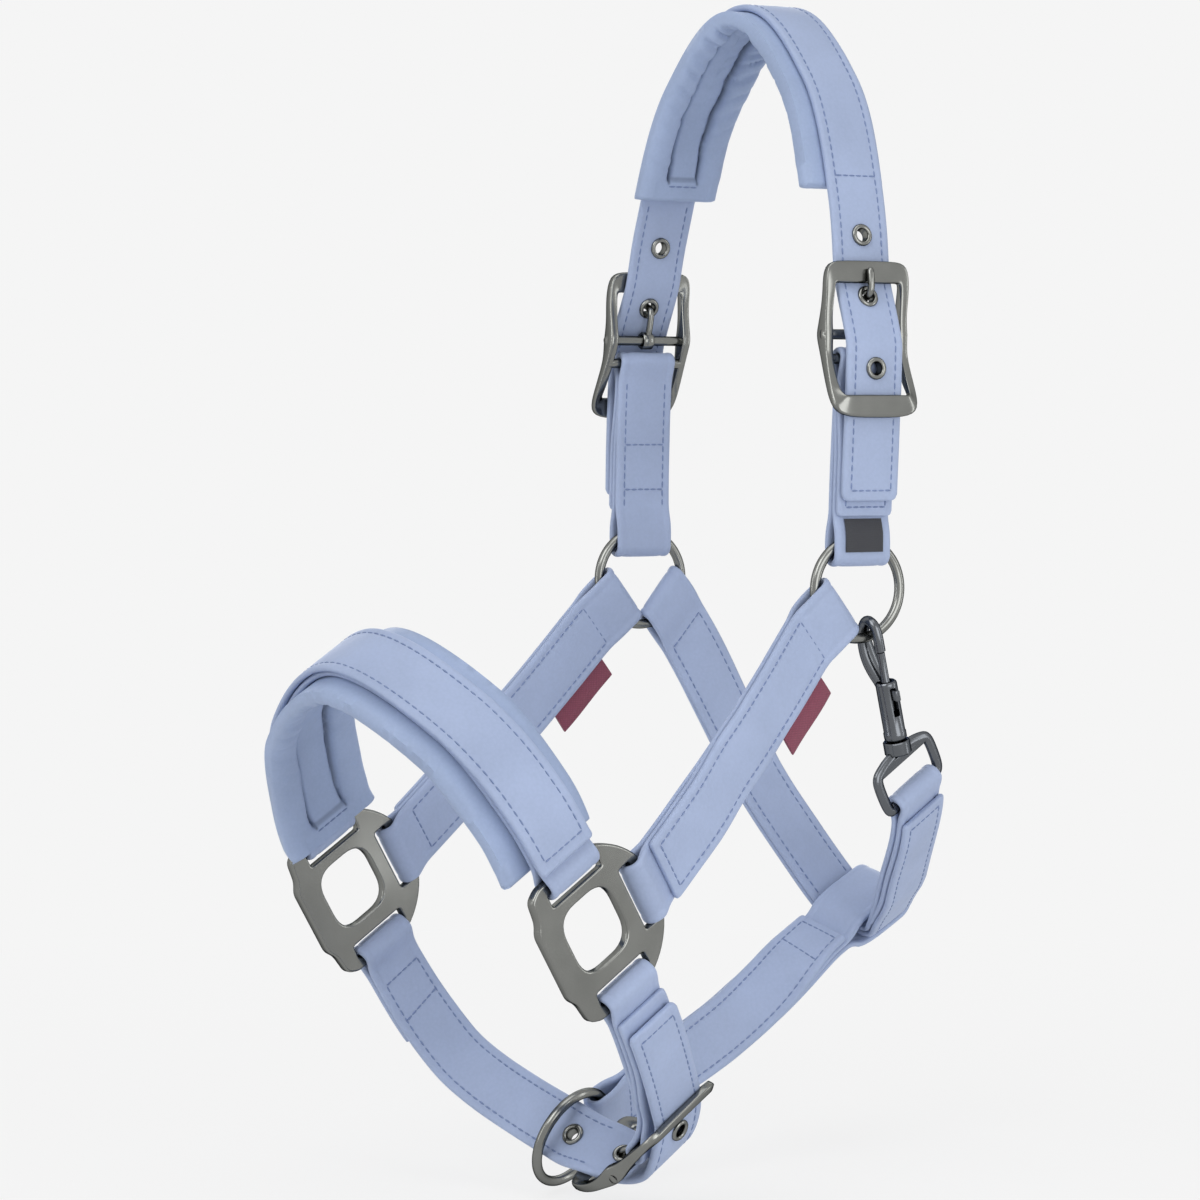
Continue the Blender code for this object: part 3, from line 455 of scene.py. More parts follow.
def turned(profile, centre, axis, steps=40):
    """Spin a profile of (radius, length) pairs about an axis."""
    axis = Vector(axis).normalized()
    one = axis.orthogonal().normalized()
    bm = bmesh.new()
    verts = [bm.verts.new(Vector(centre) + axis * along + one * radius) for radius, along in profile]
    edges = [bm.edges.new(pair) for pair in zip(verts, verts[1:])]
    if profile[0][0] > 1e-6:
        edges.append(bm.edges.new((verts[-1], verts[0])))
    bmesh.ops.spin(bm, geom=verts + edges, cent=centre, axis=axis, angle=2 * math.pi, steps=steps,
                   use_merge=True)
    bmesh.ops.remove_doubles(bm, verts=bm.verts, dist=1e-4)
    return bm


def sweep(points, up, half_a, half_b, closed=False, sides=12):
    """A rounded bar along points; half_a lies across the path, half_b along the up direction."""
    points = [Vector(p) for p in points]
    count = len(points)
    size_a = half_a if callable(half_a) else (lambda i: half_a)
    size_b = half_b if callable(half_b) else (lambda i: half_b)

    def place(i, j):
        before = points[i - 1] if (closed or i) else points[i]
        after = points[(i + 1) % count] if (closed or i < count - 1) else points[i]
        run = (after - before).normalized()
        across = run.cross(Vector(up)).normalized()
        lift = across.cross(run).normalized()
        t = 2 * math.pi * (j + 0.5) / sides
        return points[i] + across * size_a(i) * math.cos(t) + lift * size_b(i) * math.sin(t)

    return wrap(count, sides, place, closed)


def box(centre, axes, halves):
    """A block by its centre, its three directions and its half sizes."""
    bm = bmesh.new()
    turn = Matrix([Vector(a) * h for a, h in zip(axes, halves)]).transposed().to_4x4()
    bmesh.ops.create_cube(bm, size=2, matrix=Matrix.Translation(centre) @ turn)
    return bm


def rounded_path(points, cuts=3):
    """Cut the corners of an open polyline until it reads as a smooth curve."""
    for _ in range(cuts):
        out = [points[0]]
        for p, q in zip(points, points[1:]):
            out.append(tuple(a * 0.75 + b * 0.25 for a, b in zip(p, q)))
            out.append(tuple(a * 0.25 + b * 0.75 for a, b in zip(p, q)))
        points = out + [points[-1]]
    return points


def bevelled(bm, width, segments=3, angle=30):
    """Soften every edge that is sharper than an angle."""
    bmesh.ops.dissolve_limit(bm, angle_limit=math.radians(1), verts=bm.verts, edges=bm.edges)
    sharp = [e for e in bm.edges if len(e.link_faces) == 2 and e.calc_face_angle(0) > math.radians(angle)]
    bmesh.ops.bevel(bm, geom=sharp, offset=width, affect="EDGES", segments=segments, profile=0.5, material=-1,
                    clamp_overlap=False, loop_slide=False)
    return bm


# Routes that the straps follow

class Route:
    """A smooth centreline; at every length it gives the point, run, width and outward directions."""

    def __init__(self, points, widths, start, end, outward=1, pull=1.0, spans=48):
        points = [Vector(p) for p in points]
        widths = [Vector(w).normalized() for w in widths]
        runs = []
        for i, point in enumerate(points):
            if i == 0:
                runs.append(Vector(start).normalized() * (points[1] - point).length * pull)
            elif i == len(points) - 1:
                runs.append(Vector(end).normalized() * (point - points[i - 1]).length * pull)
            else:
                before = (point - points[i - 1]).length
                after = (points[i + 1] - point).length
                lean = (points[i + 1] - points[i - 1]).normalized()
                runs.append(lean * min(before, after))
        self.rows = []
        for i in range(len(points) - 1):
            last = i == len(points) - 2
            for k in range(spans + (1 if last else 0)):
                self.rows.append(self.sample(points, runs, widths, i, k / spans, outward))
        self.stops = [0.0]
        for one, two in zip(self.rows, self.rows[1:]):
            self.stops.append(self.stops[-1] + (two[0] - one[0]).length)
        self.length = self.stops[-1]

    @staticmethod
    def sample(points, runs, widths, i, t, outward):
        p, q, m, n = points[i], points[i + 1], runs[i], runs[i + 1]
        spot = (p * (2 * t**3 - 3 * t**2 + 1) + m * (t**3 - 2 * t**2 + t)
                + q * (3 * t**2 - 2 * t**3) + n * (t**3 - t**2))
        run = (p * (6 * t**2 - 6 * t) + m * (3 * t**2 - 4 * t + 1)
               + q * (6 * t - 6 * t**2) + n * (3 * t**2 - 2 * t)).normalized()
        ease = t * t * (3 - 2 * t)
        width = widths[i].lerp(widths[i + 1], ease)
        out = run.cross(width).normalized() * outward
        level = out.cross(run).normalized()
        return spot, run, width / abs(width.dot(level)), out

    def at(self, s):
        stops = self.stops
        if s <= 0:
            spot, run, width, out = self.rows[0]
            return spot + run * s, run, width, out
        if s >= self.length:
            spot, run, width, out = self.rows[-1]
            return spot + run * (s - self.length), run, width, out
        high = bisect_right(stops, s)
        low = high - 1
        f = (s - stops[low]) / (stops[high] - stops[low])
        return tuple(a.lerp(b, f) for a, b in zip(self.rows[low], self.rows[high]))

    def spot(self, s, n=0.0, w=0.0):
        point, _, width, out = self.at(s)
        return point + out * n + width * w

    def find(self, point):
        """Length at which the centreline comes nearest to a point."""
        point = Vector(point)
        best = min(range(len(self.rows)), key=lambda i: (self.rows[i][0] - point).length)
        return self.stops[best]


def leg_width():
    return Vector((math.sin(LEG_TURN), math.cos(LEG_TURN), 0))


def ring_out():
    return Vector((math.cos(LEG_TURN), -math.sin(LEG_TURN), 0))


def ring_centre(side):
    return Vector((side * LEG_X, RING_Y, RING_Z))


def ring_way(angle):
    return leg_width() * math.cos(angle) + Vector((0, 0, 1)) * math.sin(angle)


def ring_seat():
    """Distance from a ring's centre to the line that a strap's fold bears on."""
    return math.sqrt((RING_R - WIRE_R)**2 - (STRAP_W * 0.52)**2) - GAP + RING_IN


RING_IN = WIRE_R + GAP
RING_REACH = RING_R + WIRE_R - ring_seat() + GAP
RIM_IN = math.hypot(RIM / 2, PLATE_T / 2) + GAP
RIM_A = SLOT_A + SLOT + RIM / 2
RIM_B = SLOT_B + SLOT + RIM / 2
TAIL_N = 3 * LAYER + PLY / 2 + 3 * GAP + CROWN_PLY / 2


def plate_axes():
    a = Vector((0, math.sin(PLATE_TILT), -math.cos(PLATE_TILT)))
    b = Vector((0, math.cos(PLATE_TILT), math.sin(PLATE_TILT)))
    return a, b


def plate_spot(side, a, b, n=0.0):
    one, two = plate_axes()
    return Vector((side * (PLATE_X + n), PLATE_Y, PLATE_Z)) + one * a + two * b


def crown_route():
    width = leg_width()
    seat = RING_Z + ring_seat()
    rise = CROWN_TOP - BUCKLE_Z
    shoulder_x = LEG_X * 0.95 * math.sqrt(1 - ((-CROWN_PAD_END - BUCKLE_Z) / rise)**2)
    bow_x = LEG_X * 0.57
    bow_z = BUCKLE_Z + rise * math.sqrt(1 - 0.62**2)
    half = [(LEG_X, RING_Y, seat), (LEG_X, BUCKLE_Y, BUCKLE_Z),
            (shoulder_x, BUCKLE_Y / 2, -CROWN_PAD_END), (bow_x, BUCKLE_Y / 6, bow_z)]
    points = [(-x, y, z) for x, y, z in half] + [(0, 0, CROWN_TOP)] + half[::-1]
    return Route(points, [width] * len(points), (0, 0, 1), (0, 0, -1))


def cheek_route(side):
    start = ring_centre(side) + ring_way(CHEEK_ANGLE) * ring_seat()
    end = plate_spot(side, 0, RIM_B)
    a, b = plate_axes()
    width = ring_way(CHEEK_ANGLE + math.pi / 2)
    chord = (end - start).normalized()
    level = (chord - ring_out() * chord.dot(ring_out())).normalized()
    clear = start + level * (RING_REACH + 6)
    mid = start.lerp(end, 0.5) + Vector((2, 0, 0))
    return Route([start, clear, mid, end], [width, width, width + a, a], level, chord * 2 - b, side, 0.6)


def nose_route():
    low = plate_spot(1, -RIM_A, 0)
    top = Vector((0, NOSE_TOP_Y, NOSE_TOP_Z))
    a, b = plate_axes()
    half = []
    for turn, slim in ((0, 1.0), (18, 0.98), (45, 0.95)):
        t = math.radians(turn)
        point = low.lerp(top, math.sin(t))
        half.append((low.x * slim * math.cos(t), point.y, point.z))
    points = [(-x, y, z) for x, y, z in half] + [top] + half[::-1]
    return Route(points, [b] * len(points), -a, a)


def chin_route():
    a, b = plate_axes()
    far = plate_spot(-1, RIM_A, 0)
    near = plate_spot(1, RIM_A, 0)
    bend = far.lerp(CHIN_MID, 0.66)
    bend.x = far.x * 0.70
    width = Vector((0, math.cos(CHIN_TILT), math.sin(CHIN_TILT)))
    points = [far, bend, CHIN_MID] + CHIN_BEND + [CHIN_UP, near]
    widths = [b, b + width, width, b + width * 0.5] + [b] * 4
    return Route(points, widths, a, -a, -1)


def lead_axes(chin):
    """Centre, axis, strap width and outward direction of the lead ring, hung on the chin strap."""
    spot, run, _, out = chin.at(chin.find(CHIN_MID))
    return spot + out * (RING_R * LEAD_HANG), run, run.cross(out).normalized(), out


def snap_axes():
    """Point on the bolt's axis level with the ring wire, then down, out and side directions."""
    wire = ring_centre(1) + ring_way(SNAP_ANGLE) * RING_R
    down = Vector((-0.04, 0.28, -0.96)).normalized()
    out = (ring_out() - down * ring_out().dot(down)).normalized()
    return wire + out * SNAP_OUT, down, out, down.cross(out)


def eye_axes():
    """Yoke centre, bar centre, bar direction and drop direction of the snap's strap eye."""
    spot, down, _, _ = snap_axes()
    bar = Vector((0, math.cos(EYE_TILT), math.sin(EYE_TILT)))
    drop = (down - bar * down.dot(bar)).normalized()
    yoke = spot + down * (YOKE[0] + YOKE[1]) / 2
    return yoke, yoke + drop * EYE_DROP, bar, drop


def throat_route():
    start = ring_centre(-1) + ring_way(THROAT_ANGLE) * ring_seat()
    _, bar_mid, bar, drop = eye_axes()
    width = Vector((0, math.cos(THROAT_TILT), math.sin(THROAT_TILT)))
    fall = THROAT_LOW - start
    level = fall - ring_out() * fall.dot(ring_out())
    far = start + fall * 0.55 + Vector((-7, 0, -7))
    level = level.normalized() + ring_way(THROAT_ANGLE)
    near = THROAT_LOW.lerp(bar_mid, 0.55) + Vector((5, 2, -10))
    flat = Vector((0.94, 0.07, -0.33)).normalized() * THROAT_FLAT
    flat = flat - width * flat.dot(width)
    sink = width.cross(flat).normalized() * THROAT_SAG
    points = [start, far, THROAT_LOW - flat, THROAT_LOW + sink, THROAT_LOW + flat, near, bar_mid]
    widths = [ring_way(THROAT_ANGLE + math.pi / 2)] + [width] * 5 + [bar]
    return Route(points, widths, level, -drop - Vector((-0.3, 0, 0)), -1)


def back_route(chin, throat):
    centre, _, width, out = lead_axes(chin)
    pull = width * math.cos(LEAD_PULL) + out * math.sin(LEAD_PULL)
    tangent = out * math.cos(LEAD_PULL) - width * math.sin(LEAD_PULL)
    spot, run, wide, _ = throat.at(throat.find(THROAT_LOW))
    start = centre + pull * ring_seat()
    end = spot + wide * (STRAP_W / 2 - 1.5)
    neck = end - wide * (STRAP_W + 14)
    clear = start + pull * (RING_REACH + 4)
    mid = clear.lerp(neck, 0.5) + Vector((0, 1, -4))
    widths = [tangent, tangent, tangent + run * 0.9, run, run]
    return Route([start, clear, mid, neck, end], widths, pull, wide)


# Paths of the layers on a route, as (length, height) pairs

def line(s0, s1, n, step=14.0):
    count = max(1, int(math.ceil(abs(s1 - s0) / step)))
    return [(s0 + (s1 - s0) * i / count, n) for i in range(count + 1)]


def fold(s, way, inner, reach, ply, top=1, steps=10):
    """A strap end turned round a bar at length s: from the layer on side top to the other one."""
    radius = inner + ply / 2
    points = [(s - way * reach, top * radius)] if reach > 0.5 else []
    for i in range(steps + 1):
        turn = math.pi * (0.5 - i / steps)
        points.append((s + way * radius * math.cos(turn), top * radius * math.sin(turn)))
    if reach > 0.5:
        points.append((s - way * reach, -top * radius))
    return points


def ease(s0, n0, s1, n1):
    return [(s0 + (s1 - s0) * f, n0 + (n1 - n0) * f * f * (3 - 2 * f)) for f in (0.0, 0.35, 0.65, 1.0)]


def folded(start, start_in, start_reach, end, end_in, end_reach, lap_end=LAP_END, lap_len=LAP_LEN):
    """Path of a strap folded round a bar at both ends; its outer layer laps the return's skived end."""
    under = end - lap_len
    first, last = start + start_reach + SETTLE, end - end_reach - SETTLE
    low = max(first + 3, under - SKIVE)
    outer = line(end - lap_end, under - 1, 3 * LAYER) + ease(under - 2, 3 * LAYER, low, LAYER)
    outer += line(low - 2, first, LAYER, 7)
    inner = line(first, last, -LAYER, 7)
    path = outer + fold(start, -1, start_in, start_reach, PLY) + inner
    path += fold(end, 1, end_in, end_reach, PLY, -1)
    path += line(last, under, LAYER) + ease(under - 1, LAYER, low + 1, SKIVE_END)
    return path, outer, inner


def through_buckle(ply, top, tail):
    """Heights of a fastened strap, from above the buckle down to the end of its tail."""
    lift = HUB_R + GAP + ply / 2
    return [(top + 14, 0.0), (top + 6, -0.3), (top, -0.4), (top - 4, 0.2), (14, 1.9), (11.5, 2.7),
            (7, 4.2), (3.5, lift), (0, (lift + TAIL_N) / 2), (-4, TAIL_N), (-9, TAIL_N),
            (-16, TAIL_N)] + line(-24, tail, TAIL_N)


def height(path, s):
    """Height and slope of a path at one length."""
    for (s0, n0), (s1, n1) in zip(path, path[1:]):
        if min(s0, s1) <= s <= max(s0, s1) and s0 != s1:
            f = (s - s0) / (s1 - s0)
            return n0 + (n1 - n0) * f, (n1 - n0) / (s1 - s0)
    return path[-1][1], 0.0


# Sewn leather

def strap_section(width, ply):
    """Outline of a sewn strap: rolled edges, a sunk stitch line near each edge and a slight crown."""
    half, deep = width / 2, ply / 2
    line_at = half - STITCH_IN
    top = [(half, 0.3), (half - 0.2, 0.62), (half - 0.6, 0.88), (half - 1.3, 1.02), (half - 2.2, 1.02),
           (line_at + 0.75, 0.94), (line_at, 1 - GROOVE / deep), (line_at - 0.75, 0.94),
           (line_at - 2.2, 1.02), (half * 0.28, 1.05)]
    top = [(w, d * deep) for w, d in top]
    upper = top + [(-w, d) for w, d in top[::-1]]
    return upper + [(w, -d) for w, d in upper[::-1]]


def stations(path, step=2.4):
    """A smoothed path cut into even short steps, closer together at both ends."""
    path = rounded_path(path, 2)
    out = [path[0]]
    for p, q in zip(path, path[1:]):
        size = math.dist(p, q)
        if size < 1e-4:
            continue
        count = max(1, int(math.ceil(size / step)))
        for k in range(1, count + 1):
            out.append((p[0] + (q[0] - p[0]) * k / count, p[1] + (q[1] - p[1]) * k / count))
    thin = [out[0]]
    for p in out[1:-1]:
        if math.dist(p, thin[-1]) > 0.45:
            thin.append(p)
    thin.append(out[-1])
    for end, near in ((0, 1), (len(thin), -2)):
        tip = thin[0] if end == 0 else thin[-1]
        far = thin[near]
        size = math.dist(far, tip)
        steps = [x / size for x in (0.12, 0.4, 0.9) if x < size]
        extra = [tuple(a + (b - a) * f for a, b in zip(tip, far)) for f in steps]
        thin = thin[:1] + extra + thin[1:] if end == 0 else thin[:-1] + extra[::-1] + thin[-1:]
    return thin


def strap(route, path, width, ply, corner=(1.0, 1.0), seed=0.0):
    """A sewn strap along a path, its ends rolled and their corners rounded."""
    fine = stations(path)
    runs = [0.0]
    for p, q in zip(fine, fine[1:]):
        runs.append(runs[-1] + math.dist(p, q))
    section = strap_section(width, ply)
    half = width / 2

    def place(i, j):
        s, n = fine[i]
        before, after = fine[max(i - 1, 0)], fine[min(i + 1, len(fine) - 1)]
        ds, dn = after[0] - before[0], after[1] - before[1]
        size = math.hypot(ds, dn)
        w, d = section[j]
        roll, narrow = 1.0, 0.0
        for x, r in ((runs[i], corner[0]), (runs[-1] - runs[i], corner[1])):
            if x < 1.0:
                roll = min(roll, 0.35 + 0.65 * math.sqrt(1 - (1 - x)**2))
            if x < r:
                narrow = max(narrow, r - math.sqrt(max(0, r * r - (r - x)**2)))
        w *= (half - narrow) / half
        wave = 0.1 * noise.noise(Vector((s / 17, w / 30, seed)))
        w += 0.18 * noise.noise(Vector((s / 21, 5.0 if w > 0 else 9.0, seed)))
        d *= roll
        return route.spot(s - d * dn / size, n + wave + d * ds / size, w)

    return wrap(len(fine), len(section), place)


ROLL = Matrix.Rotation(math.pi / 2, 4, "Y")


def seam(bm, at, up, start, stop, pitch=STITCH_PITCH):
    """A row of stitches between two values of the row's own measure."""
    count = max(1, int(abs(stop - start) / pitch))
    step = (stop - start) / count
    reach = step * STITCH_LEN / pitch
    for k in range(count):
        t = start + step * k + (step - reach) / 2
        p, q = at(t), at(t + reach)
        run = (q - p).normalized()
        rise = up(t + reach / 2)
        side = rise.cross(run).normalized()
        rise = run.cross(side)
        turn = Matrix((run * (q - p).length / 2, side * STITCH_R, rise * STITCH_R)).transposed().to_4x4()
        bmesh.ops.create_uvsphere(bm, u_segments=6, v_segments=6, radius=1.0,
                                  matrix=Matrix.Translation((p + q) / 2 + rise * 0.06) @ turn @ ROLL)


def stitched(bm, route, layer, ply, side, s0, s1, crossings=(), width=STRAP_W):
    """Two rows along a layer and rows across it, on its outer (side 1) or inner (side -1) face."""
    reach = width / 2 - STITCH_IN

    def up(s):
        return route.at(s)[3] * side

    for w in (reach, -reach):
        seam(bm, lambda s: route.spot(s, height(layer, s)[0] + (ply / 2 - GROOVE) * side, w), up, s0, s1)
    for s in crossings:
        n = height(layer, s)[0] + (ply / 2 - 0.02) * side
        seam(bm, lambda w: route.spot(s, n, w), lambda w: up(s), -reach, reach, CROSS_PITCH)


def sewing(name, bm):
    finish(name, bm, SEWING)


def eyelet_frame(route, path, s):
    n, slope = height(path, s)
    spot, run, _, out = route.at(s)
    return spot + out * n, (out - run * slope).normalized()


def punched(bm, frames):
    """Cut the eyelet holes."""
    drills = bmesh.new()
    for spot, axis in frames:
        turn = axis.to_track_quat("Z", "Y").to_matrix().to_4x4()
        bmesh.ops.create_cone(drills, cap_ends=True, segments=24, radius1=EYELET_DRILL, radius2=EYELET_DRILL,
                              depth=10, matrix=Matrix.Translation(spot) @ turn)
    return boolean(bm, drills, "DIFFERENCE")


def eyelet(strap_name, tag, spot, axis, ply, ease_by=0.0):
    """A rolled eyelet: a tube through the strap with a curled lip on each face."""
    face = ply / 2 + 0.05 + ease_by * 0.4
    lip = ply / 2 + GAP + 0.9 + ease_by
    curl = [(EYELET_R, face), (EYELET_R - 0.05, face + (lip - face) * 0.5), (EYELET_R - 0.45, lip - 0.12),
            (EYELET_HOLE + 1.0, lip), (EYELET_HOLE + 0.45, lip - 0.1), (EYELET_HOLE + 0.12, lip - 0.45),
            (EYELET_HOLE, lip - 0.9)]
    profile = [(3.0, face)] + curl + [(r, -a) for r, a in curl[::-1]] + [(3.0, -face)]
    finish("eyelet_%s_%s" % (strap_name, tag), turned(profile, spot, axis, 36), METAL,
           "%s_eyelet_%s" % (strap_name, tag), sharp=50)


def pad_piece(route, s0, s1, top, width, thick, lean, seed, sunk, stand):
    """A stuffed pad: two rolls beside a sunk panel, gathered along its seams and sewn flat across its ends.

    It lies under the height top, shifts sideways by lean along its length and stands off towards s1.
    """
    half = width / 2
    rows = int((s1 - s0) / 1.0)

    def row(i):
        s = s0 + (s1 - s0) * i / (rows - 1)
        return s, min(s - s0, s1 - s), math.exp(-((s - (s0 + s1) / 2) / 50)**2)

    def across(j):
        return half * (2 * (j - PAD_OVER + 0.5) / PAD_UNDER - 1)

    def channel(s, w, apex):
        """Half width of the panel, and how far the skin is gathered there."""
        lobe = 2.0 if w > 0 else 7.0
        beat = s / PUCKER + 2.4 * noise.noise(Vector((s / 19, seed, lobe)))
        pull = max(0.1, 0.5 + 1.1 * noise.noise(Vector((s / 11, seed + 3, lobe))))
        gather = pull * (1 - abs(math.sin(math.pi * beat)))**1.5
        wander = 0.8 * noise.noise(Vector((s / 11, seed, lobe)))
        return half * PAD_PANEL + (0.2 + 0.8 * apex) * (gather - 0.3) + wander, gather, lobe

    def place(i, j):
        s, end, apex = row(i)
        off = -lean * (s - s0) / (s1 - s0)
        close = math.sqrt(max(0.0, 1 - (1 - min(1.0, end / 1.4))**2))
        tuck = 2.9 * max(0.0, 1 - min(s, route.length - s) / SETTLE)**2
        off_by = stand * max(0.0, 1 - (s1 - s) / 28)**2
        if j < PAD_OVER:
            w = (half - 1.4) * (1 - 2 * j / (PAD_OVER - 1))
            return route.spot(s, top - tuck - off_by - 0.02 - 0.3 * (1 - close), w + off)
        w = across(j)
        far = abs(w)
        panel, gather, lobe = channel(s, w, apex)
        middle = (half + panel) / 2
        crease = max(0.0, 1 - 5.5 * abs(noise.noise(Vector((s / 9 - far / 16, seed + 4, lobe)))))
        slack = noise.noise(Vector((s / 23, w / 19, seed)))
        round_off = max(0.0, 1 - abs((far - middle) / (half - middle + 0.15))**2.6)
        roll = 0.36 + 0.64 * round_off**0.55
        if far > panel:
            deep = roll + 0.06 * slack - (0.05 + 0.24 * apex) * gather * math.exp(-(far - panel) / 2.8)
            deep -= (0.03 + 0.27 * apex) * crease * round_off
        else:
            deep = sunk - 0.04 * (w / panel)**2 + 0.05 * slack
            deep += (0.87 - sunk) * math.exp(-max(0.0, end - PAD_FLAP) / 11)
            deep -= (0.05 + 0.1 * apex) * gather * math.exp(-(panel - far) / 2.0) + 0.12 * apex * crease
        deep -= 0.16 * math.exp(-((far - panel) / 0.9)**2)
        stuffed = min(1.0, max(0.0, (end - PAD_FLAP + 2) / 4.0))
        stuffed = stuffed * stuffed * (3 - 2 * stuffed)
        flap = (roll if far > middle else 0.97) - 0.03 - 0.02 * slack
        deep = (deep * stuffed + flap * (1 - stuffed)) * (0.62 + 0.38 * close)
        edge = 1 + (0.006 + 0.012 * apex) * slack
        return route.spot(s, top - tuck * 0.6 - off_by - max(0.7, thick * min(1.04, deep)), w * edge + off)

    # marks the channel lines and flap ends, where painted shade darkens the pad's colour
    def sewn(i, j):
        s, end, apex = row(i)
        if j < PAD_OVER or end < PAD_FLAP - 1:
            return 0.0
        panel = channel(s, across(j), apex)[0]
        far = abs(across(j))
        line_by = math.exp(-((far - panel) / 0.55)**2)
        return max(line_by, math.exp(-((end - PAD_FLAP - 0.6) / 0.6)**2) if far < panel else 0.0)

    return wrap(rows, PAD_OVER + PAD_UNDER, place, seam=sewn)


def pad_seams(bm, route, s0, s1, top, width, thick, lean):
    """Stitches across the pad's flat ends; the thread of its long seams is sunk out of sight."""
    panel = width / 2 * PAD_PANEL
    for s in (s0 + PAD_FLAP - 2.4, s1 - PAD_FLAP + 2.4):
        off = -lean * (s - s0) / (s1 - s0)
        seam(bm, lambda w: route.spot(s, top - thick * 0.94, w + off), lambda w: -route.at(s)[3],
             -panel, panel, CROSS_PITCH)


def build_crown(crown):
    length = crown.length
    bar = crown.find((LEG_X, BUCKLE_Y, BUCKLE_Z))
    near = [(bar - s, n) for s, n in through_buckle(CROWN_PLY, TOP_BAR, CROWN_TAIL - (length - bar))]
    far = [(length - s, n) for s, n in near][::-1]
    path = far + line(far[-1][0] + 12, near[0][0] - 12, 0.0, 12) + near
    bm = strap(crown, path, STRAP_W, CROWN_PLY, (3.0, 3.0), 1.0)
    spots = [bar - k for k in CROWN_EYELETS]
    frames = {"left": [eyelet_frame(crown, path, s) for s in spots],
              "right": [eyelet_frame(crown, path, length - s) for s in spots]}
    bm = punched(bm, frames["left"] + frames["right"])
    finish("crown_leather", bm, STRAP_SKIN, "crown_strap")
    for side, places in frames.items():
        for i, (spot, axis) in enumerate(places, 1):
            eyelet("crown", "%s_%d" % (side, i), spot, axis, CROWN_PLY)
    s0 = crown.find(min((row[0] for row in crown.rows[:144]), key=lambda p: abs(p.z + CROWN_PAD_END)))
    s1 = length - s0
    top = -CROWN_PLY / 2 - GAP
    bm = pad_piece(crown, s0, s1, top, CROWN_PAD_W, CROWN_PAD_T, CROWN_PAD_LEAN, 2.0, 0.52, 0.0)
    cushion = finish("crown_cushion", bm, PAD_SKIN, "crown_pad", sharp=75)
    sew = bmesh.new()
    first, last = path[0][0] + TAIL_SEW, path[-1][0] - TAIL_SEW
    stitched(sew, crown, path, CROWN_PLY, 1, first, last, (first, s0 + 3, s1 - 3, last))
    stitched(sew, crown, path, CROWN_PLY, -1, first, s0 - 3)
    stitched(sew, crown, path, CROWN_PLY, -1, s1 + 3, last)
    pad_seams(sew, crown, s0, s1, top, CROWN_PAD_W, CROWN_PAD_T, CROWN_PAD_LEAN)
    sewing("crown_stitching", sew)
    build_chapes(crown, bar)
    build_label(crown)
    return bar


def build_chapes(crown, bar):
    length = crown.length
    ways = folded(bar + CHAPE_BAR, BAR_R + GAP, 0, length, RING_IN, RING_REACH)
    stops = (bar + CHAPE_BAR + BAR_SEW, length - RING_REACH - BAR_SEW, length - LAP_END - STITCH_IN)
    for word, flip in (("left", False), ("right", True)):
        path, outer, inner = ([(length - s if flip else s, n) for s, n in way] for way in ways)
        first, last, stop = (length - s if flip else s for s in stops)
        bm = strap(crown, path, STRAP_W, PLY, (2.0, 1.0), 3.0 + flip)
        finish("chape_leather_" + word, bm, STRAP_SKIN, "cheek_chape_" + word)
        sew = bmesh.new()
        crossings = [first + (last - first) * k for k in (0.5, 0.86)]
        stitched(sew, crown, inner, PLY, -1, first, last, crossings)
        stitched(sew, crown, outer, PLY, 1, first, stop, (stop,))
        sewing("chape_stitching_" + word, sew)


def build_label(crown):
    """A blank woven label on the near chape, just above its ring."""
    length = crown.length
    face = RING_IN + PLY + 0.35
    top = length - LAP_END + 1.0
    rise = (RING_IN + PLY / 2 - LAYER) * (length - RING_REACH - top) / 7
    rows = rounded_path([(top, face - rise), (length - RING_REACH - 2, face - rise * 0.3),
                         (length - RING_REACH, face), (length - 1, face)], 3)
    upper = [(8.35, 0.3), (7.9, 0.42), (7.3, 0.3), (4, 0.34)]
    edge = [(8.5, 0.0)] + upper + [(0, 0.36)] + [(-w, d) for w, d in upper[::-1]]
    edge += [(-8.5, 0.0), (-8.3, -0.3), (0, -0.35), (8.3, -0.3)]

    def place(i, j):
        s, n = rows[i]
        w, d = edge[j]
        return crown.spot(s, n + d, w)

    finish("blank_label", wrap(len(rows), len(edge), place), LABEL_CLOTH, "size_label")


def build_cheeks():
    for side, word in ((1, "left"), (-1, "right")):
        route = cheek_route(side)
        length = route.length
        path, outer, inner = folded(0, RING_IN + 0.2, RING_REACH + 1.5, length, RIM_IN, 0, CHEEK_LAP)
        bm = strap(route, path, STRAP_W, PLY, (1.5, 1.0), 10.0 + side)
        finish("cheek_leather_" + word, bm, STRAP_SKIN, "cheek_strap_" + word)
        sew = bmesh.new()
        first, last = RING_REACH + RING_SEW, length - CHEEK_LAP - STITCH_IN
        stitched(sew, route, outer, PLY, 1, first, last, (first, last))
        last = length - RIM_SEW
        stitched(sew, route, inner, PLY, -1, first, last, (first, last, length - LAP_LEN))
        sewing("cheek_stitching_" + word, sew)
        tab(route, word)


def tab(route, word):
    """A folded tape sewn into the strap's edge: two leaves and a round outer fold."""
    edge = STRAP_W / 2 + GAP
    leaf = [(0, 0.62), (TAB_OUT * 0.4, 0.7), (TAB_OUT - 0.6, 0.62), (TAB_OUT - 0.05, 0.3)]
    ring = leaf + [(w, -n) for w, n in leaf[::-1]]
    rows = [TAB_START + TAB_LEN * k / 20 for k in range(21)]

    def place(i, j):
        w, n = ring[j]
        end = 0.75 if i in (0, len(rows) - 1) else 1.0
        sway = 0.35 * math.sin(i * 0.3) * w / TAB_OUT
        return route.spot(rows[i], n * end + sway, edge + w)

    finish("tape_tab_" + word, wrap(len(rows), len(ring), place), TAB_CLOTH, "side_tab_" + word)


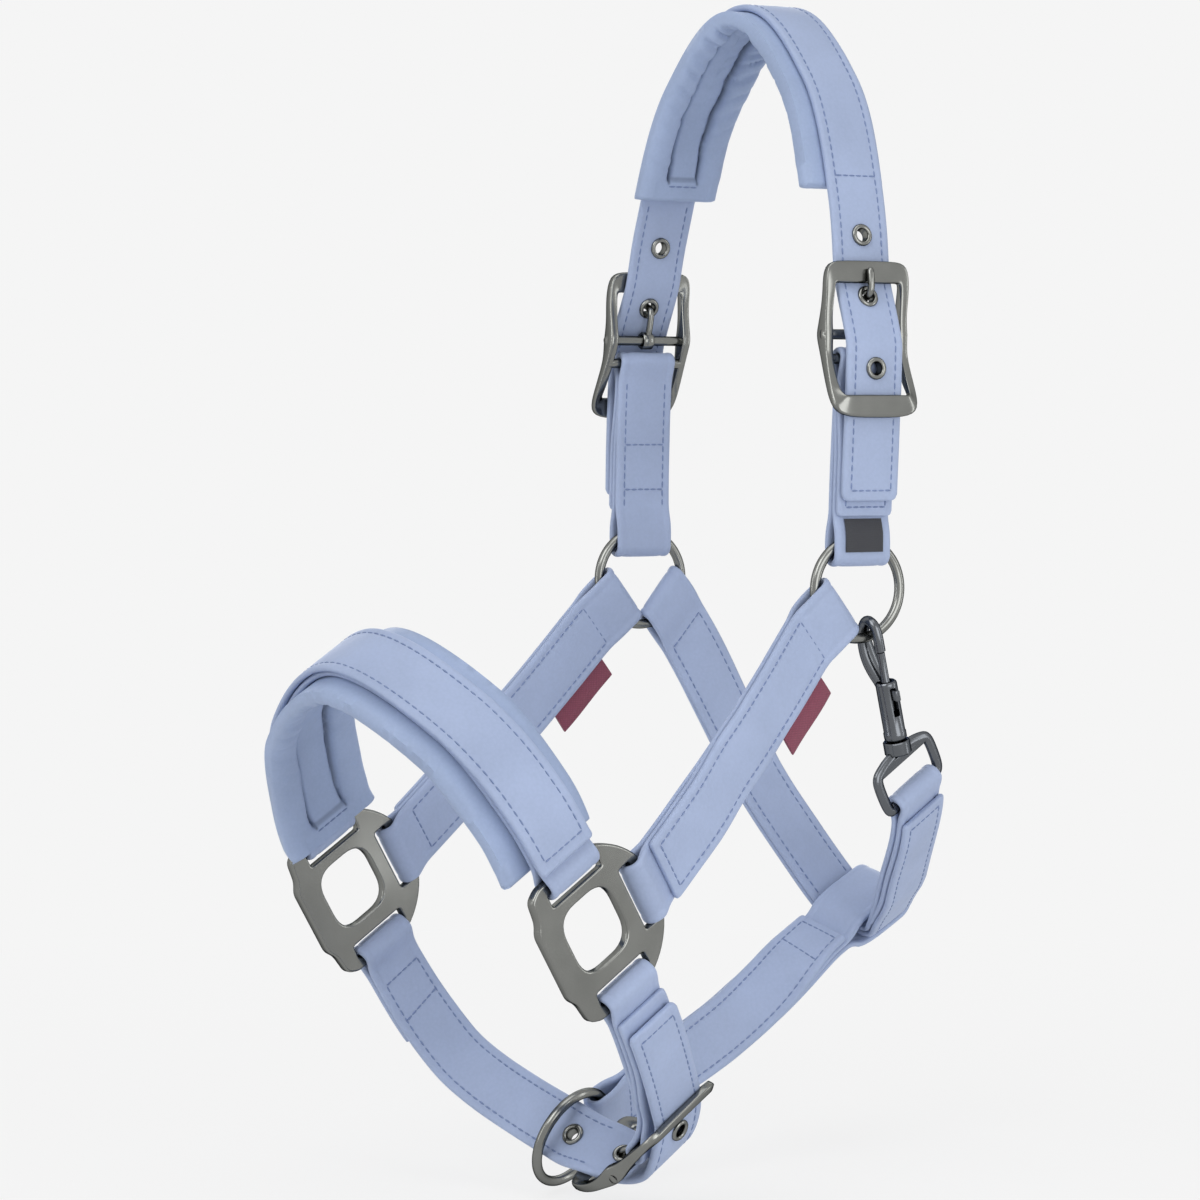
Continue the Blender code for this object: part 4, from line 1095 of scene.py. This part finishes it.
def build_noseband(nose):
    length = nose.length
    turn = ease(LAP_LEN + SKIVE, SKIVE_END, LAP_LEN, LAYER) + line(LAP_LEN - 1, SETTLE, LAYER)
    path = turn + fold(0, -1, RIM_IN, 0, PLY) + line(SETTLE, length - SETTLE, -LAYER, 8)
    path += fold(length, 1, RIM_IN, 0, PLY, -1) + [(length - s, n) for s, n in turn][::-1]
    bm = strap(nose, path, STRAP_W, PLY, (1.0, 1.0), 20.0)
    finish("noseband_leather", bm, STRAP_SKIN, "noseband_strap")
    high, low = 3 * LAYER, LAYER
    half = [(NOSE_FACE_END, high + NOSE_FACE_LIFT)] + line(SETTLE, LAP_LEN, high)
    half += ease(LAP_LEN + 1, high, LAP_LEN + SKIVE + 1, low)
    path = half + line(LAP_LEN + SKIVE + 5, length - LAP_LEN - SKIVE - 5, low, 8)
    path += [(length - s, n) for s, n in half][::-1]
    bm = strap(nose, path, NOSE_FACE_W, PLY, (1.5, 1.5), 21.0)
    finish("noseband_top_leather", bm, STRAP_SKIN, "noseband_facing")
    sew = bmesh.new()
    first, last = NOSE_FACE_END + TAIL_SEW, length - NOSE_FACE_END - TAIL_SEW
    stitched(sew, nose, path, PLY, 1, first, last, (first, last), NOSE_FACE_W)
    s0, s1 = NOSE_PAD_FAR, length - NOSE_PAD_END
    top = -LAYER - PLY / 2 - GAP
    pad_seams(sew, nose, s0, s1, top, NOSE_PAD_W, NOSE_PAD_T, 0.0)
    sewing("noseband_stitching", sew)
    bm = pad_piece(nose, s0, s1, top, NOSE_PAD_W, NOSE_PAD_T, 0.0, 22.0, 0.42, 2.2)
    cushion = finish("noseband_cushion", bm, PAD_SKIN, "noseband_pad", sharp=75)


def build_chin(chin):
    length = chin.length
    bar = chin.find(CHIN_UP) - CHIN_KEEPER
    layer = (CROWN_PLY + GAP) / 2
    tail = [(bar - s, n) for s, n in through_buckle(CROWN_PLY, TOP_BAR, bar - (length - CHIN_TAIL))]
    single = line(SETTLE, LAP_LEN, -layer) + ease(LAP_LEN + 6, -layer, LAP_LEN + 24, 0)
    single += line(LAP_LEN + 30, tail[0][0] - 8, 0.0, 10) + tail
    path = line(LAP_LEN, SETTLE, layer) + fold(0, -1, RIM_IN, 0, CROWN_PLY) + single
    bm = strap(chin, path, STRAP_W, CROWN_PLY, (1.0, 2.5), 30.0)
    frames = [eyelet_frame(chin, path, bar - k) for k in CHIN_EYELETS]
    finish("chin_leather", punched(bm, frames), STRAP_SKIN, "chin_strap")
    for i, (spot, axis) in enumerate(frames):
        eyelet("chin", str(i + 1), spot, axis, CROWN_PLY, EYELET_EASE[i])
    sew = bmesh.new()
    stop = single[-1][0] - TAIL_SEW
    stitched(sew, chin, single, CROWN_PLY, 1, LAP_LEN + 26, stop, (stop,))
    stitched(sew, chin, single, CROWN_PLY, -1, 14, bar - TOP_BAR, (14, LAP_LEN - 6))
    path, _, inner = folded(bar + CHAPE_BAR, BAR_R + GAP, 0, length, RIM_IN, 0, CHIN_LAP, LAP_LEN - 8)
    bm = strap(chin, path, STRAP_W, PLY, (1.5, 1.0), 31.0)
    finish("chin_chape_leather", bm, STRAP_SKIN, "chin_chape")
    last = length - RIM_SEW
    stitched(sew, chin, inner, PLY, -1, bar + CHAPE_BAR + BAR_SEW, last, (last,))
    sewing("chin_stitching", sew)
    return bar


def build_throat(throat):
    path, outer, inner = folded(0, RING_IN, RING_REACH, throat.length, EYE_R + GAP, 0, THROAT_LAP,
                                THROAT_UNDER)
    bm = strap(throat, path, STRAP_W, PLY, (1.5, 1.0), 40.0)
    finish("throat_leather", bm, STRAP_SKIN, "throat_strap")
    sew = bmesh.new()
    first, last = RING_REACH + RING_SEW, throat.length - THROAT_LAP - STITCH_IN
    for layer, side in ((outer, 1), (inner, -1)):
        stitched(sew, throat, layer, PLY, side, first, last, (first, last))
    sewing("throat_stitching", sew)


def build_back(back):
    loop_in = LAYER + PLY / 2 + LOOP_SLACK
    ways = folded(0, RING_IN, RING_REACH, back.length, loop_in, STRAP_W - 1, LOOP_LAP, LOOP_LAP + 18)
    path, outer, inner = ([(s, -n) for s, n in way] for way in ways)
    bm = strap(back, path, STRAP_W, PLY, (1.5, 1.0), 50.0)
    finish("back_leather", bm, STRAP_SKIN, "back_strap")
    sew = bmesh.new()
    first, last = RING_REACH + RING_SEW, back.length - LOOP_LAP - STITCH_IN
    for layer, side in ((outer, -1), (inner, 1)):
        stitched(sew, back, layer, PLY, side, first, last, (first, last, last - 13))
    sewing("back_stitching", sew)


# Hardware

def build_rings(chin):
    centre, axis, _, _ = lead_axes(chin)
    for name, old, body, spot, way in (
            ("ring_left", "upper_ring_left", "left_ring", ring_centre(1), ring_out()),
            ("ring_right", "upper_ring_right", "right_ring", ring_centre(-1), ring_out()),
            ("ring_lead", "lead_ring", "tie_ring", centre, axis)):
        profile = [(RING_R + WIRE_R * math.cos(t), WIRE_R * math.sin(t))
                   for t in (2 * math.pi * k / 20 for k in range(20))]
        finish(name, turned(profile, spot, way, 96), METAL, old, body, 60)


def rounded(points, radius, steps=5):
    """Round the corners of a closed outline of (a, b) points."""
    out = []
    for i, (a, b) in enumerate(points):
        corner = Vector((a, b, 0))
        before = Vector((*points[i - 1], 0)) - corner
        after = Vector((*points[(i + 1) % len(points)], 0)) - corner
        cut = min(radius, before.length * 0.45, after.length * 0.45)
        p, q = corner + before.normalized() * cut, corner + after.normalized() * cut
        for k in range(steps + 1):
            f = k / steps
            out.append(p * (1 - f)**2 + corner * 2 * f * (1 - f) + q * f * f)
    return [(p.x, p.y) for p in out]


def plate_outline():
    end_a = RIM_A + RIM / 2
    end_b = RIM_B + RIM / 2
    ear = SLOT_LEN / 2 + 3.0
    low = math.atan2(math.sqrt(PLATE_R**2 - end_a**2), end_a)
    high = math.atan2(end_b, math.sqrt(PLATE_R**2 - end_b**2))
    points = []
    for k in range(11):
        t = low + (high - low) * k / 10
        points.append((PLATE_R * math.cos(t), PLATE_R * math.sin(t)))
    points += [(-a, b) for a, b in points[::-1]]
    front = [(end_a, -SLOT_LEN / 2), (end_a - 0.4, -ear), (EAR_A, -EAR_B + 1.2), (EAR_STEP, -EAR_B),
             (EAR_STEP - 3.8, -PLATE_FRONT)]
    front = [(-a, b) for a, b in front] + front[::-1]
    return points + rounded(front, 3.0, 4)[5:-5]


def slab(outline, side, deep):
    """A flat outline of the plate's plane, thickened both ways."""
    bm = bmesh.new()
    face = bm.faces.new([bm.verts.new(plate_spot(side, a, b, -deep)) for a, b in outline])
    up = bmesh.ops.extrude_face_region(bm, geom=[face])["geom"]
    verts = [v for v in up if isinstance(v, bmesh.types.BMVert)]
    bmesh.ops.translate(bm, vec=(side * 2 * deep, 0, 0), verts=verts)
    return bm


def flared_hole(side, mid_a, mid_b, half_a, half_b, radius, steps):
    """A cutter for a hole through the plate, widened at both faces so that the rim comes out rounded."""
    turns = [math.pi / 8 * k for k in range(5)]
    rim = [(RIM_ROUND * (1 - math.cos(t)), PLATE_T / 2 - RIM_ROUND * (1 - math.sin(t))) for t in turns]
    levels = [(RIM_ROUND, -PLATE_T)] + [(e, -n) for e, n in rim[::-1]] + rim + [(RIM_ROUND, PLATE_T)]
    loops = []
    for e, n in levels:
        a, b = half_a + e, half_b + e
        corners = ((-a, -b), (a, -b), (a, b), (-a, b))
        loops.append([(p + mid_a, q + mid_b, n) for p, q in rounded(corners, radius + e, steps)])
    return wrap(len(levels), len(loops[0]), lambda i, j: plate_spot(side, *loops[i][j]))


def build_plates():
    slot_a, slot_b = RIM_A - RIM / 2 - SLOT / 2, RIM_B - RIM / 2 - SLOT / 2
    half, long = SLOT / 2, SLOT_LEN / 2
    holes = ((WINDOW_MID, WINDOW_MID, WINDOW_A, WINDOW_B, WINDOW_R, 8), (-slot_a, 0, half, long, 1.4, 4),
             (slot_a, 0, half, long, 1.4, 4), (0, slot_b, long, half, 1.4, 4))
    for side, word in ((1, "left"), (-1, "right")):
        bm = bevelled(slab(plate_outline(), side, PLATE_T / 2), RIM_ROUND, 4)
        for hole in holes:
            bm = boolean(bm, flared_hole(side, *hole), "DIFFERENCE")
        plate = finish("plate_" + word, bm, METAL, "side_plate_" + word, sharp=30)
        for face in plate.data.polygons:
            face.use_smooth = abs(face.normal.x) < 0.9999


def buckle(name, node_name, route, bar, way, top, keeper, slim):
    """A double-bar buckle: bowed frame, prong bar, chape bar and a raised keeper below."""
    x1 = BUCKLE_IN + 2.0
    lift = -0.4 + CROWN_PLY / 2 + 2 * GAP + 1.5
    out = TAIL_N + CROWN_PLY / 2 + GAP + 1.4
    # Across, along and out, then the way its broad side faces, and its half width and half depth
    right = [(0, top, lift, 0, 1, BAR_FLAT, 1.5), (x1 - 5, top, lift, 0, 1, BAR_FLAT, 1.5),
             (x1 - 0.1, top - 0.3, lift, 0.474, 0.88, 4.2, 1.7), (x1, top - 7, lift * 0.8, 1, 0, 1.9, 2.1),
             (x1, top * 0.4, 0.4, 1, 0, 1.7, 2.3), (x1, 4.0, -0.9, 1, 0, 1.8, 3.1),
             (x1, 0, -1.3, 1, 0, 2.0, 3.8), (x1, -4.0, -0.8, 1, 0, 1.8, 3.1),
             (x1, -CHAPE_BAR, 0.4, 1, 0, 1.7, 2.3),
             (x1 + 0.6, -keeper * 0.72, out * 0.5, 1, 0, 1.8, 2.0),
             (x1 + 0.3, -keeper + 1.2, out - 0.5, 0.6, -0.8, slim * 0.86, 1.6),
             (x1 - 4, -keeper, out, 0, -1, slim, 1.4), (0, -keeper, out, 0, -1, slim, 1.4)]
    left = [(-x, s, n, -dx, ds, p, q) for x, s, n, dx, ds, p, q in right[1:-1]][::-1]
    loop = right + left
    edge = [(1.04, 0.45), (0.95, 0.9), (0.7, 1.06)]
    edge += [(-u, v) for u, v in edge[::-1]]
    edge += [(u, -v) for u, v in edge[::-1]]

    def place(i, j):
        x, s, n, dx, ds, p, q = loop[i]
        u, v = edge[j]
        size = math.hypot(dx, ds)
        return route.spot(bar + way * (s + ds / size * p * u), n + q * v, x + dx / size * p * u)

    bm = subdivided(wrap(len(loop), len(edge), place, True), 2)
    for s, past in ((0, 2.5), (-CHAPE_BAR, 1.2)):
        one, two = (route.spot(bar + way * s, 0, w) for w in (-x1 - past, x1 + past))
        reach = (two - one).length
        rod = [(0, 0), (BAR_R * 0.6, 0.1), (BAR_R, 0.7), (BAR_R, reach - 0.7), (BAR_R * 0.6, reach - 0.1),
               (0, reach)]
        bm = boolean(bm, turned(rod, one, two - one, 24), "UNION")
    finish(name, bm, METAL, node_name, sharp=45)


def prong(name, node_name, body, route, bar, way, top):
    """The pin on the prong bar, cranked through its eyelet to rest on the top bar."""
    spot, _, width, _ = route.at(bar)
    width = width.normalized()
    hub = [(BAR_R + 0.3, -2.2), (HUB_R - 0.4, -2.4), (HUB_R, -2.0), (HUB_R, 2.0), (HUB_R - 0.4, 2.4),
           (BAR_R + 0.3, 2.2)]
    bm = turned(hub, spot, width, 32)
    rest = -0.4 + CROWN_PLY / 2 + 3.0 + 3 * GAP + PRONG_R
    path = [(2.6, -1.6), (5.5, -2.2), (10.3, -2.3), (12.4, -1.7), (13.8, 0.4), (14.3, 3.0),
            (15.2, 4.8), (17.2, rest + 0.2), (top - 2.5, rest + 0.3), (top + 1.2, rest - 0.1)]
    path = rounded_path(path, 2)
    count = len(path)
    points = [route.spot(bar + way * s, n, 0) for s, n in path]

    def taper(i):
        return PRONG_R * (1.15 if i < count - 3 else (0.95, 0.75, 0.4)[i - count + 3])

    bm = boolean(bm, sweep(points, width, taper, taper), "UNION")
    finish(name, bm, METAL, node_name, body, 45)


def build_snap():
    build_snap_hook()
    build_snap_bolt()
    build_snap_eye()


def build_snap_hook():
    """The slotted barrel on its swivel pin, with the hook cast on its far side."""
    spot, down, out, side = snap_axes()
    top, low = SNAP_BARREL
    pin = YOKE[1] - 0.6
    r = SNAP_BARREL_R - 0.3
    profile = [(0, top + 20), (2.5, top + 20), (2.5, top), (r - 0.7, top), (r - 0.15, top + 0.5),
               (r, top + 1.2), (r, low - 3.4), (r + 0.25, low - 3.0), (r + 0.25, low - 0.7), (r - 0.3, low),
               (2.1, low), (2.1, pin - 0.4), (1.7, pin), (0, pin)]
    bm = turned(profile, spot, down, 40)
    slot = box(spot + down * (top + 8.2) + out * 4, (down, out, side), (5.8, 3, 1.35))
    bm = boolean(bm, slot, "DIFFERENCE")
    w = SNAP_HOOK_W
    path = [(-2.9, top + 5), (-3.6, top + 1.5), (-w * 0.62, top - 3), (-w * 0.9, top * 0.5), (-w, 2),
            (-w * 0.9, -3.4), (-w * 0.55, -6.6), (-w * 0.15, -5.4), (0, -1.5), (0, SNAP_TIP)]
    path = rounded_path(path, 2)
    reach = len(path) - 1
    hook = sweep([spot + out * v + down * u for v, u in path], side, 2.1,
                 lambda i: 2.1 + 1.6 * math.sin(math.pi * min(1.0, 1.6 * i / reach))**2, False, 16)
    finish("snap_hook", boolean(bm, hook, "UNION"), CAST_METAL, "snap_body", "snap", 40)


def build_snap_bolt():
    """The sprung bolt that closes the hook, with its thumb knob."""
    spot, down, out, side = snap_axes()
    top = SNAP_BARREL[0]
    tip = SNAP_TIP + GAP
    rod = [(0, tip), (BOLT_R - 0.3, tip), (BOLT_R, tip + 0.3), (BOLT_R, top - 0.5), (2.1, top + 0.5),
           (2.1, top + 12), (0, top + 12)]
    knob = bevelled(box(spot + down * (top + 5) + out * 4, (down, out, side), (2.2, 3.4, 1.1)), 0.5, 3)
    bm = boolean(turned(rod, spot, down, 28), knob, "UNION")
    finish("snap_plunger", bm, CAST_METAL, "snap_bolt", "bolt", 40)


def build_snap_eye():
    """The boss that the snap swivels in, with the loop for the strap."""
    down = snap_axes()[1]
    yoke, _, bar, drop = eye_axes()
    tall = (YOKE[1] - YOKE[0]) / 2
    boss = [(2.5, -tall), (5.0, -tall), (5.4, -tall + 0.4), (5.4, tall - 0.4), (5.0, tall), (2.5, tall)]
    wide = STRAP_W / 2 + 3.6
    arm = [(4.4, 2.2), (8, 2.7), (wide - 4, 3.9), (wide - 0.9, 5.3), (wide + 0.1, 8.4), (wide, EYE_DROP - 3),
           (wide - 1.2, EYE_DROP), (wide - 3.6, EYE_DROP)]
    arm = rounded_path(arm + [(-a, d) for a, d in arm[::-1]], 2)
    deep = bar.cross(drop)
    loop = sweep([yoke + bar * a + drop * d for a, d in arm], deep, EYE_R * 1.15, EYE_R * 0.76, False, 16)
    web = bevelled(box(yoke + drop * 4.7, (bar, drop, deep), (wide - 2.5, 1.9, 1.4)), 0.6, 3)
    bm = boolean(turned(boss, yoke, down, 32), boolean(loop, web, "UNION"), "UNION")
    finish("snap_strap_eye", bm, CAST_METAL, "snap_eye", sharp=40)


# Studio

def camera_axes():
    """Directions to the right of the camera and back from what it looks at."""
    right = Vector((math.cos(CAM_TURN), math.sin(CAM_TURN), 0))
    back = Vector((math.sin(CAM_TURN) * math.cos(CAM_LIFT), -math.cos(CAM_TURN) * math.cos(CAM_LIFT),
                   math.sin(CAM_LIFT)))
    return right, back


def build_camera():
    right, back = camera_axes()
    camera = placed("camera", bpy.data.cameras.new("camera"))
    camera.data.lens = CAM_LENS
    camera.data.sensor_width = 36
    camera.data.clip_end = 50
    turn = Matrix((right, back.cross(right), back)).transposed().to_4x4()
    camera.matrix_world = Matrix.Translation(CAM_SPOT) @ turn
    bpy.context.scene.camera = camera


def build_lamps(aim):
    """Broad soft lamps on all sides; the two strips draw the bright lines on the metal."""
    right, back = camera_axes()
    up = Vector((0, 0, 1))
    for name, place, wide, tall, power in (
            ("key", back * 1.2 - right * 0.9 + up * 1.1, 1.1, 1.1, 12.5),
            ("top", back * 0.3 + up * 1.5, 1.2, 1.2, 7.0),
            ("fill", back * 0.66 + right * 0.46 + up * 0.05, 0.5, 0.6, 2.3),
            ("rear", up * 0.5 - back * 1.35, 1.2, 1.2, 9.0),
            ("strip_left", back * 0.3 - right * 1.3, 0.16, 1.3, 3.0),
            ("strip_right", right * 1.3 + back * 0.12, 0.18, 1.3, 2.4)):
        lamp = placed(name, bpy.data.lights.new(name, "AREA"))
        lamp.data.shape = "RECTANGLE"
        lamp.data.size = wide
        lamp.data.size_y = tall
        lamp.data.energy = power
        lamp.visible_camera = False
        lamp.location = aim + place
        lamp.rotation_euler = (-place).to_track_quat("-Z", "Y").to_euler()


def in_sight(tree):
    """1 on rays that carry what is seen, straight, mirrored or through glass, and 0 on those that light."""
    rays = node(tree, "ShaderNodeLightPath")
    clear = node(tree, "ShaderNodeMath", {"operation": "MAXIMUM"}, i0=rays.outputs["Is Glossy Ray"],
                 i1=rays.outputs["Is Transmission Ray"])
    return node(tree, "ShaderNodeMath", {"operation": "MAXIMUM"}, i0=rays.outputs["Is Camera Ray"],
                i1=clear.outputs[0]).outputs[0]


def build_world():
    """A pale backdrop to look at, with a weaker white light from all round."""
    world = bpy.data.worlds.new("studio")
    world.use_nodes = True
    tree = world.node_tree
    tree.nodes.clear()
    show = node(tree, "ShaderNodeBackground", {"Color": linear(PAPER), "Strength": 1.0})
    light = node(tree, "ShaderNodeBackground", {"Color": (1, 1, 1, 1), "Strength": 0.3})
    mix = node(tree, "ShaderNodeMixShader", None, i0=in_sight(tree), i1=light.outputs[0], i2=show.outputs[0])
    node(tree, "ShaderNodeOutputWorld", None, Surface=mix.outputs[0])
    bpy.context.scene.world = world


def paper_floor(centre):
    """Matt white paper: it keeps a faint shadow under the halter and fades into the backdrop away from it."""
    mat = bpy.data.materials.new("pale_paper_floor")
    mat.use_nodes = True
    tree = mat.node_tree
    tree.nodes.clear()
    paper = node(tree, "ShaderNodeBsdfDiffuse", {"Color": linear(PAPER)})
    glow = node(tree, "ShaderNodeEmission", {"Color": linear(PAPER), "Strength": 1.0})
    spot = node(tree, "ShaderNodeTexCoord").outputs["Object"]
    away = node(tree, "ShaderNodeVectorMath", {"operation": "DISTANCE", 1: centre}, i0=spot)
    plain = node(tree, "ShaderNodeMapRange",
                 {"From Min": 0.12, "From Max": 0.7, "To Min": 0.85, "To Max": 1.0},
                 Value=away.outputs["Value"])
    part = node(tree, "ShaderNodeMath", {"operation": "MULTIPLY"}, i0=in_sight(tree), i1=plain.outputs[0])
    mix = node(tree, "ShaderNodeMixShader", None, i0=part.outputs[0], i1=paper.outputs[0], i2=glow.outputs[0])
    node(tree, "ShaderNodeOutputMaterial", None, Surface=mix.outputs[0])
    return mat


def build_floor(aim):
    low = CAD_BOX[0].z
    bm = bmesh.new()
    bmesh.ops.create_circle(bm, cap_ends=True, segments=96, radius=3.0,
                            matrix=Matrix.Translation((aim.x, aim.y, low - 0.002)))
    floor = placed("floor", to_mesh("floor", bm))
    floor.data.materials.append(paper_floor((aim.x, aim.y, low)))


def build_studio():
    bpy.context.scene.view_settings.view_transform = "Standard"
    aim = (CAD_BOX[0] + CAD_BOX[1]) / 2
    build_camera()
    build_lamps(aim)
    build_world()
    build_floor(aim)


def build_halter():
    crown = crown_route()
    chin = chin_route()
    throat = throat_route()
    bar = build_crown(crown)
    build_cheeks()
    build_noseband(nose_route())
    chin_bar = build_chin(chin)
    build_throat(throat)
    build_back(back_route(chin, throat))
    build_rings(chin)
    build_plates()
    for name, node_name, body, route, at, way, keeper, slim in (
            ("crown_left", "crown_%s_left", "left_prong", crown, bar, -1, KEEPER, BAR_FLAT),
            ("crown_right", "crown_%s_right", "right_prong", crown, crown.length - bar, 1, KEEPER, BAR_FLAT),
            ("chin", "chin_%s", "buckle_prong", chin, chin_bar, -1, CHIN_KEEPER, BAR_SLIM)):
        buckle("buckle_" + name, node_name % "buckle", route, at, way, TOP_BAR, keeper, slim)
        prong("prong_" + name, node_name % "prong", body, route, at, way, TOP_BAR)
    build_snap()


build_studio()
build_halter()
